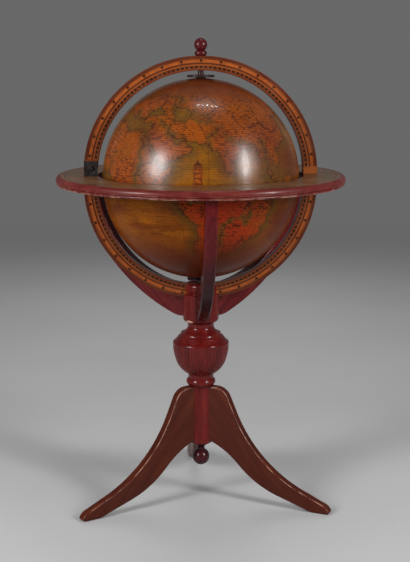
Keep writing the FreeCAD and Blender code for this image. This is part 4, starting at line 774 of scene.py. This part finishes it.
GLOBE_SPOKES = 384
OUTER_ROWS = 112
INNER_ROWS = 40
GLOBE_SHARP = 40.0


def meridian(radius, centre, sign, rows):
    """Points from the equator to the pole's hole."""
    angles = np.linspace(0.0, math.acos(POLE_HOLE / radius), rows)
    return [(radius * math.cos(angle), centre + sign * radius * math.sin(angle)) for angle in angles]


def half_globe(name, centre, rim, sign, front_longitude, materials):
    """A hollow half globe: printed outside, cut edge at the rim, lining inside."""
    inner = GLOBE_RADIUS - SHELL_WALL
    outside = meridian(GLOBE_RADIUS, centre, sign, OUTER_ROWS)[::-1]
    inside = meridian(inner, centre, sign, INNER_ROWS)
    profile = np.array(outside + [(GLOBE_RADIUS, rim), (inner, rim)] + inside)
    slots = [0] * OUTER_ROWS + [1] + [2] * INNER_ROWS + [1]
    if sign > 0:
        profile = profile[::-1]
        slots = slots[-2::-1] + slots[-1:]
    radii = np.repeat(profile[:, :1], GLOBE_SPOKES, 1)
    piece, points = swept(name, radii, profile[:, 1], slots, materials, GLOBE_SHARP)
    longitude = np.degrees(np.arctan2(points[:, 1], points[:, 0])) + 90.0 - CAMERA_AZIMUTH + front_longitude
    longitude = widened(longitude, front_longitude)
    latitude = np.degrees(np.arcsin(np.clip((points[:, 2] - centre) / GLOBE_RADIUS, -1.0, 1.0)))
    for label, values in map_values(longitude, latitude).items():
        layer = piece.data.attributes.new(label, "FLOAT", "POINT")
        layer.data.foreach_set("value", values.astype(np.float32))
    return piece


REEDS = 48
REED_SPOKES = 10
REED_DEPTH = 0.0011
REED_RUN_IN = 0.12
REED_RUN_OUT = 0.06
VASE_FOOT = 0.026
VASE_BORE = 0.0051
VASE_SHARP = 28.0
BEAD_HALF = 0.008
BEAD_BULGE = 0.0045


def reeded_vase(material):
    """The turned vase, with shallow reeds down its bowl that the solid leaves out."""
    low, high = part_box("vase")
    base, top = low.z, high.z
    corners = [(VASE_FOOT, base)]

    def line_to(reach, rise, count=2):
        corners.extend(straight(corners[-1], (reach, base + rise), count))

    def arc_to(reach, rise, radius, side, count):
        corners.extend(arc(corners[-1], (reach, base + rise), radius, side, count))

    bead_curve = (BEAD_HALF ** 2 + BEAD_BULGE ** 2) / (2 * BEAD_BULGE)
    arc_to(VASE_FOOT, 2 * BEAD_HALF, bead_curve, "left", 14)
    arc_to(0.0275, 0.025, 0.030, "right", 6)
    reeds_from = len(corners)
    arc_to(0.0538, 0.060, 0.052, "left", 32)
    arc_to(0.0582, 0.0895, 0.087, "left", 24)
    reeds_to = len(corners)
    arc_to(0.0554, 0.0952, 0.0045, "left", 8)
    arc_to(0.0473, 0.105, 0.040, "right", 10)
    arc_to(0.0415, 0.111, 0.009, "right", 6)
    line_to(0.0415, 0.1125)
    arc_to(0.0272, 0.124, 0.020, "right", 10)
    line_to(0.0272, 0.129)
    arc_to(0.030, 0.136, 0.010, "right", 8)
    line_to(VASE_BORE, top - base, 6)
    corners.extend(straight((VASE_BORE, top), (VASE_BORE, base), 2))
    corners.extend(straight((VASE_BORE, base), (VASE_FOOT, base), 6)[:-1])
    profile = np.array(corners)
    spokes = REEDS * REED_SPOKES
    across = np.abs((np.arange(spokes) % REED_SPOKES) / (REED_SPOKES / 2) - 1.0)
    depth = np.zeros(len(profile))
    rows = np.arange(reeds_from, reeds_to)
    share = (rows - reeds_from) / (reeds_to - 1 - reeds_from)
    run_in = np.clip(share / REED_RUN_IN, 0.0, 1.0)
    run_out = np.clip((1.0 - share) / REED_RUN_OUT, 0.0, 1.0)
    depth[rows] = REED_DEPTH * run_in * run_out
    radii = profile[:, :1] - depth[:, None] * across[None, :] ** 2
    piece, _ = swept("vase_reeded", radii, profile[:, 1], [0] * len(profile), [material], VASE_SHARP)
    return piece


# Dress the pieces

def paint(material, *names):
    for name in names:
        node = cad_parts[name]
        if not node.material_slots:
            node.data.materials.append(material)
        for slot in node.material_slots:
            slot.material = material


LEG_AZIMUTHS = {"left": 210, "right": 330, "rear": 90}
ARM_AZIMUTHS = {"front": 270, "left": 150, "right": 30}
LEG_HALF = 0.010
LEG_SLOPE = -48.0
LEG_GLOSS = (0.30, 0.46)
# How strongly the pale upper-edge line, wear and painted highlight, is laid on each leg
LEG_WEAR_AND_HIGHLIGHT = {"left": 0.8, "right": 0.8, "rear": 0.1}
ARM_HALF = 0.0115
ARM_SLOPE = 45.0
ARM_GLOSS = (0.22, 0.36)
# How strongly the pale upper-edge line, wear and painted highlight, is laid on the arms
ARM_WEAR_AND_HIGHLIGHT = 0.25
# Levels in metres between which painted shade darkens the front arm downwards
FRONT_ARM_SHADE_LEVELS = (0.575, 0.475)
BLACK_STEEL = ((0.008, 0.007, 0.007), (0.018, 0.015, 0.014), (0.040, 0.034, 0.031))
ZINC_STEEL = ((0.26, 0.25, 0.23), (0.40, 0.39, 0.37), (0.52, 0.51, 0.49))
DARK_STEEL = ((0.010, 0.009, 0.010), (0.020, 0.018, 0.019), (0.040, 0.036, 0.037))
BRASS = ((0.36, 0.20, 0.055), (0.52, 0.32, 0.10), (0.62, 0.42, 0.16))
# How many degrees above the horizon the plain right end of a scale reaches; the lower scale has none
UPPER_PLAIN_END = 3.6
NO_PLAIN_END = -200.0

paint(turned_wood("maroon_lacquer", MAROON), "base_post")
paint(turned_wood("finial_lacquer", WINE), "top_finial")
paint(turned_wood("drop_lacquer", DARK_PLUM), "drop_finial")
paint(turned_wood("hub_lacquer", MAROON, wear=hub_chip), "hub")
paint(turned_wood("rim_lacquer", RIM_RED, roughness=(0.28, 0.45), coat=0.1, wear=rim_wear,
                  scale=(26.0, 26.0, 90.0)), "horizon_ring")
paint(turned_wood("meridian_lacquer", RING_BROWN, scale=(30.0, 60.0, 30.0)),
      "meridian_upper", "meridian_lower")
paint(turned_wood("dial_lacquer", DIAL_BROWN, roughness=(0.32, 0.46), coat=0.04),
      "upper_dial", "lower_dial", "upper_spacer", "lower_spacer")
paint(turned_wood("tray_stain", TRAY_BROWN, roughness=(0.34, 0.5), coat=0.1, scale=(6.0, 60.0, 60.0)),
      "bar_tray", "bottle_shelf")
paint(turned_wood("post_stain", TRAY_BROWN, roughness=(0.3, 0.46), coat=0.1), "tray_posts", "glass_rings")
paint(turned_wood("bare_wood", BARE_WOOD, roughness=(0.5, 0.7), coat=0.0, scale=(40.0, 40.0, 12.0)),
      "leg_dowels", "arm_dowels", "ring_dowels", "meridian_dowels", "upper_rim_hoop", "lower_rim_hoop",
      "upper_pole_block", "lower_pole_block")
for side, azimuth in LEG_AZIMUTHS.items():
    paint(plank_wood(f"leg_wood_{side}", RUSSET, azimuth, LEG_HALF, LEG_SLOPE, LEG_GLOSS, LEG_WEAR_AND_HIGHLIGHT[side]),
          f"leg_{side}")
for side, azimuth in ARM_AZIMUTHS.items():
    # Only the front arm gets painted shade towards its lower end
    shade_levels = FRONT_ARM_SHADE_LEVELS if side == "front" else None
    paint(plank_wood(f"arm_wood_{side}", PLUM, azimuth, ARM_HALF, ARM_SLOPE, ARM_GLOSS, ARM_WEAR_AND_HIGHLIGHT, shade_levels),
          f"arm_{side}")
paint(metal("black_steel", BLACK_STEEL, (0.34, 0.55), 0.0),
      "hinge_bracket_front", "hinge_bracket_rear", "hinge_pin")
paint(metal("zinc_steel", ZINC_STEEL, (0.26, 0.44), 1.0), "tie_rod", "tie_nuts", "tie_washers",
      "hinge_screws", "lower_washer", "lower_nut", "upper_washer", "upper_nut")
paint(metal("dark_steel", DARK_STEEL, (0.34, 0.52), 1.0), "lower_spindle", "upper_spindle")
paint(metal("brass", BRASS, (0.24, 0.42), 1.0), "hinge_bush", "tray_screws")
paint(felt(), "upper_felt", "lower_felt")
paint(printed_scale("scale_print_lower", LOWER_SCALE_CENTRE, NO_PLAIN_END),
      "scale_lower_front", "scale_lower_rear")
paint(printed_scale("scale_print_upper", UPPER_SCALE_CENTRE, UPPER_PLAIN_END),
      "scale_upper_front", "scale_upper_rear")
paint(printed_chart(), "horizon_chart")

PRINT_SEED = 0.3
inside_lining = lining()
cut_edge = board_edge()
for half, centre, rim, sign, longitude, tones, gloss, polar_brown in (
        ("upper", UPPER_CENTRE, UPPER_LOW.z, 1, UPPER_FRONT_LONGITUDE, UPPER_TONES, 0.33, (0.68, 1.0)),
        ("lower", LOWER_CENTRE, LOWER_HIGH.z, -1, LOWER_FRONT_LONGITUDE, LOWER_TONES, 0.08, (0.30, 0.80))):
    surface = printed_globe(f"globe_print_{half}", centre, PRINT_SEED * sign, tones, gloss, polar_brown,
                            half == "upper")
    shell = half_globe(f"{half}_globe_shell", centre, rim, sign, longitude,
                       [surface, cut_edge, inside_lining])
    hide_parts(f"{half}_hemisphere")
    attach(shell, f"{half}_globe")

vase = reeded_vase(turned_wood("vase_lacquer", MAROON, roughness=(0.14, 0.26), coat=0.2))
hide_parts("vase")
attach(vase, "stand")


# Floor, light and camera

BACKGROUND = (0.14, 0.14, 0.14)
FLOOR_COLOR = (0.43, 0.43, 0.43)
FLOOR_RADIUS = 14.0
FLOOR_SPOKES = 96
FLOOR_FADE = (1.0, 4.5)
FLOOR_SHADE = 0.95
GLOBE_MIDDLE = Vector((0.0, 0.0, 0.68))
LEFT_AIM = (-50.0, 16.0)
RIGHT_AIM = (53.0, 18.0)
RIGHT_ROLL = -12.0
# Distance, size and power of the nested lamps that make each soft box brightest in its middle
LEFT_BOX = {"core": (2.2, (0.60, 0.85), 22.0), "middle": (2.21, (0.90, 1.2), 17.5),
            "surround": (2.22, (1.25, 1.6), 11.0)}
RIGHT_BOX = {"core": (2.2, (0.28, 1.05), 20.0), "middle": (2.21, (0.46, 1.35), 15.5),
             "surround": (2.22, (0.70, 1.6), 10.0)}
SPECK_COUNT = 5
SPECK_PITCH = 0.125
SPECK_ASIDE = 0.18


def make_floor():
    """A round pale floor that fades into the background far from the object."""
    shader = Shader("floor_paper", Roughness=0.75)
    point = shader.point()
    cloud = shader.noise(point, 1.6)
    shaded = tuple(FLOOR_SHADE * c for c in FLOOR_COLOR)
    color = shader.over(FLOOR_COLOR, shaded, shader.ease(cloud, 0.3, 0.7))
    shader.put(shader.surface.inputs["Base Color"], color)
    glow = shader.add("ShaderNodeEmission", {"Color": rgba(BACKGROUND), "Strength": 1.0})
    reach = shader.add("ShaderNodeVectorMath", {0: point}, operation="LENGTH").outputs["Value"]
    blend = shader.add("ShaderNodeMixShader", {0: shader.ease(reach, *FLOOR_FADE)})
    shader.put(blend.inputs[1], shader.surface.outputs[0])
    shader.put(blend.inputs[2], glow.outputs[0])
    shader.put(shader.output.inputs["Surface"], blend.outputs[0])
    angles = [2 * math.pi * step / FLOOR_SPOKES for step in range(FLOOR_SPOKES)]
    mesh = bpy.data.meshes.new("floor")
    mesh.from_pydata([(FLOOR_RADIUS * math.cos(a), FLOOR_RADIUS * math.sin(a), 0.0) for a in angles], [],
                     [list(range(FLOOR_SPOKES))])
    mesh.materials.append(shader.material)
    floor = placed("floor", mesh)


def spot_from_camera(azimuth, elevation, distance):
    """A point seen from the globe at an azimuth from the camera's line, positive to the camera's right."""
    a = math.radians(CAMERA_AZIMUTH + azimuth)
    e = math.radians(elevation)
    direction = Vector((math.sin(a) * math.cos(e), -math.cos(a) * math.cos(e), math.sin(e)))
    return GLOBE_MIDDLE + distance * direction


def soft_box(name, azimuth, elevation, distance, size, power, aside=0.0, roll=0.0):
    """A lamp that looks at the globe; aside moves it to the camera's right, roll turns it in its plane."""
    lamp = bpy.data.lights.new(name, "AREA")
    lamp.shape = "ELLIPSE"
    lamp.size, lamp.size_y = size
    lamp.energy = power
    lamp_object = placed(name, lamp)
    a = math.radians(CAMERA_AZIMUTH)
    rightwards = Vector((math.cos(a), math.sin(a), 0.0))
    lamp_object.location = spot_from_camera(azimuth, elevation, distance) + aside * rightwards
    facing = (GLOBE_MIDDLE - lamp_object.location).to_track_quat("-Z", "Y")
    lamp_object.rotation_euler = (facing @ Quaternion((0.0, 0.0, 1.0), math.radians(roll))).to_euler()
    return lamp_object


def make_light():
    for part, lamp in LEFT_BOX.items():
        soft_box(f"left_{part}", *LEFT_AIM, *lamp)
    for part, lamp in RIGHT_BOX.items():
        soft_box(f"right_{part}", *RIGHT_AIM, *lamp, roll=RIGHT_ROLL)
    back_fill = soft_box("back_fill", 180.0, 28.0, 3.0, (1.6, 1.6), 30.0)
    back_fill.visible_glossy = False
    for number in range(SPECK_COUNT):
        aside = SPECK_ASIDE + (number - (SPECK_COUNT - 1) / 2) * SPECK_PITCH
        soft_box(f"ceiling_lamp_{number}", 180.0, 87.0, 1.94, (0.06, 0.05), 0.8, aside=aside)
    world = bpy.data.worlds.new("studio")
    world.use_nodes = True
    background = world.node_tree.nodes["Background"]
    background.inputs["Color"].default_value = rgba(BACKGROUND)
    background.inputs["Strength"].default_value = 1.0
    bpy.context.scene.world = world


def make_camera():
    camera = bpy.data.cameras.new("camera")
    camera.sensor_width = CAMERA_SENSOR
    camera.lens = CAMERA_LENS
    camera.clip_end = CAMERA_FAR
    camera_object = placed("camera", camera)
    a = math.radians(CAMERA_AZIMUTH)
    camera_object.location = (CAMERA_DISTANCE * math.sin(a), -CAMERA_DISTANCE * math.cos(a), CAMERA_HEIGHT)
    tilt = math.radians(90.0 - CAMERA_PITCH)
    camera_object.rotation_euler = Euler((tilt, 0.0, a - math.radians(CAMERA_YAW)))
    bpy.context.scene.camera = camera_object


make_floor()
make_light()
make_camera()
bpy.context.scene.view_settings.view_transform = "Standard"
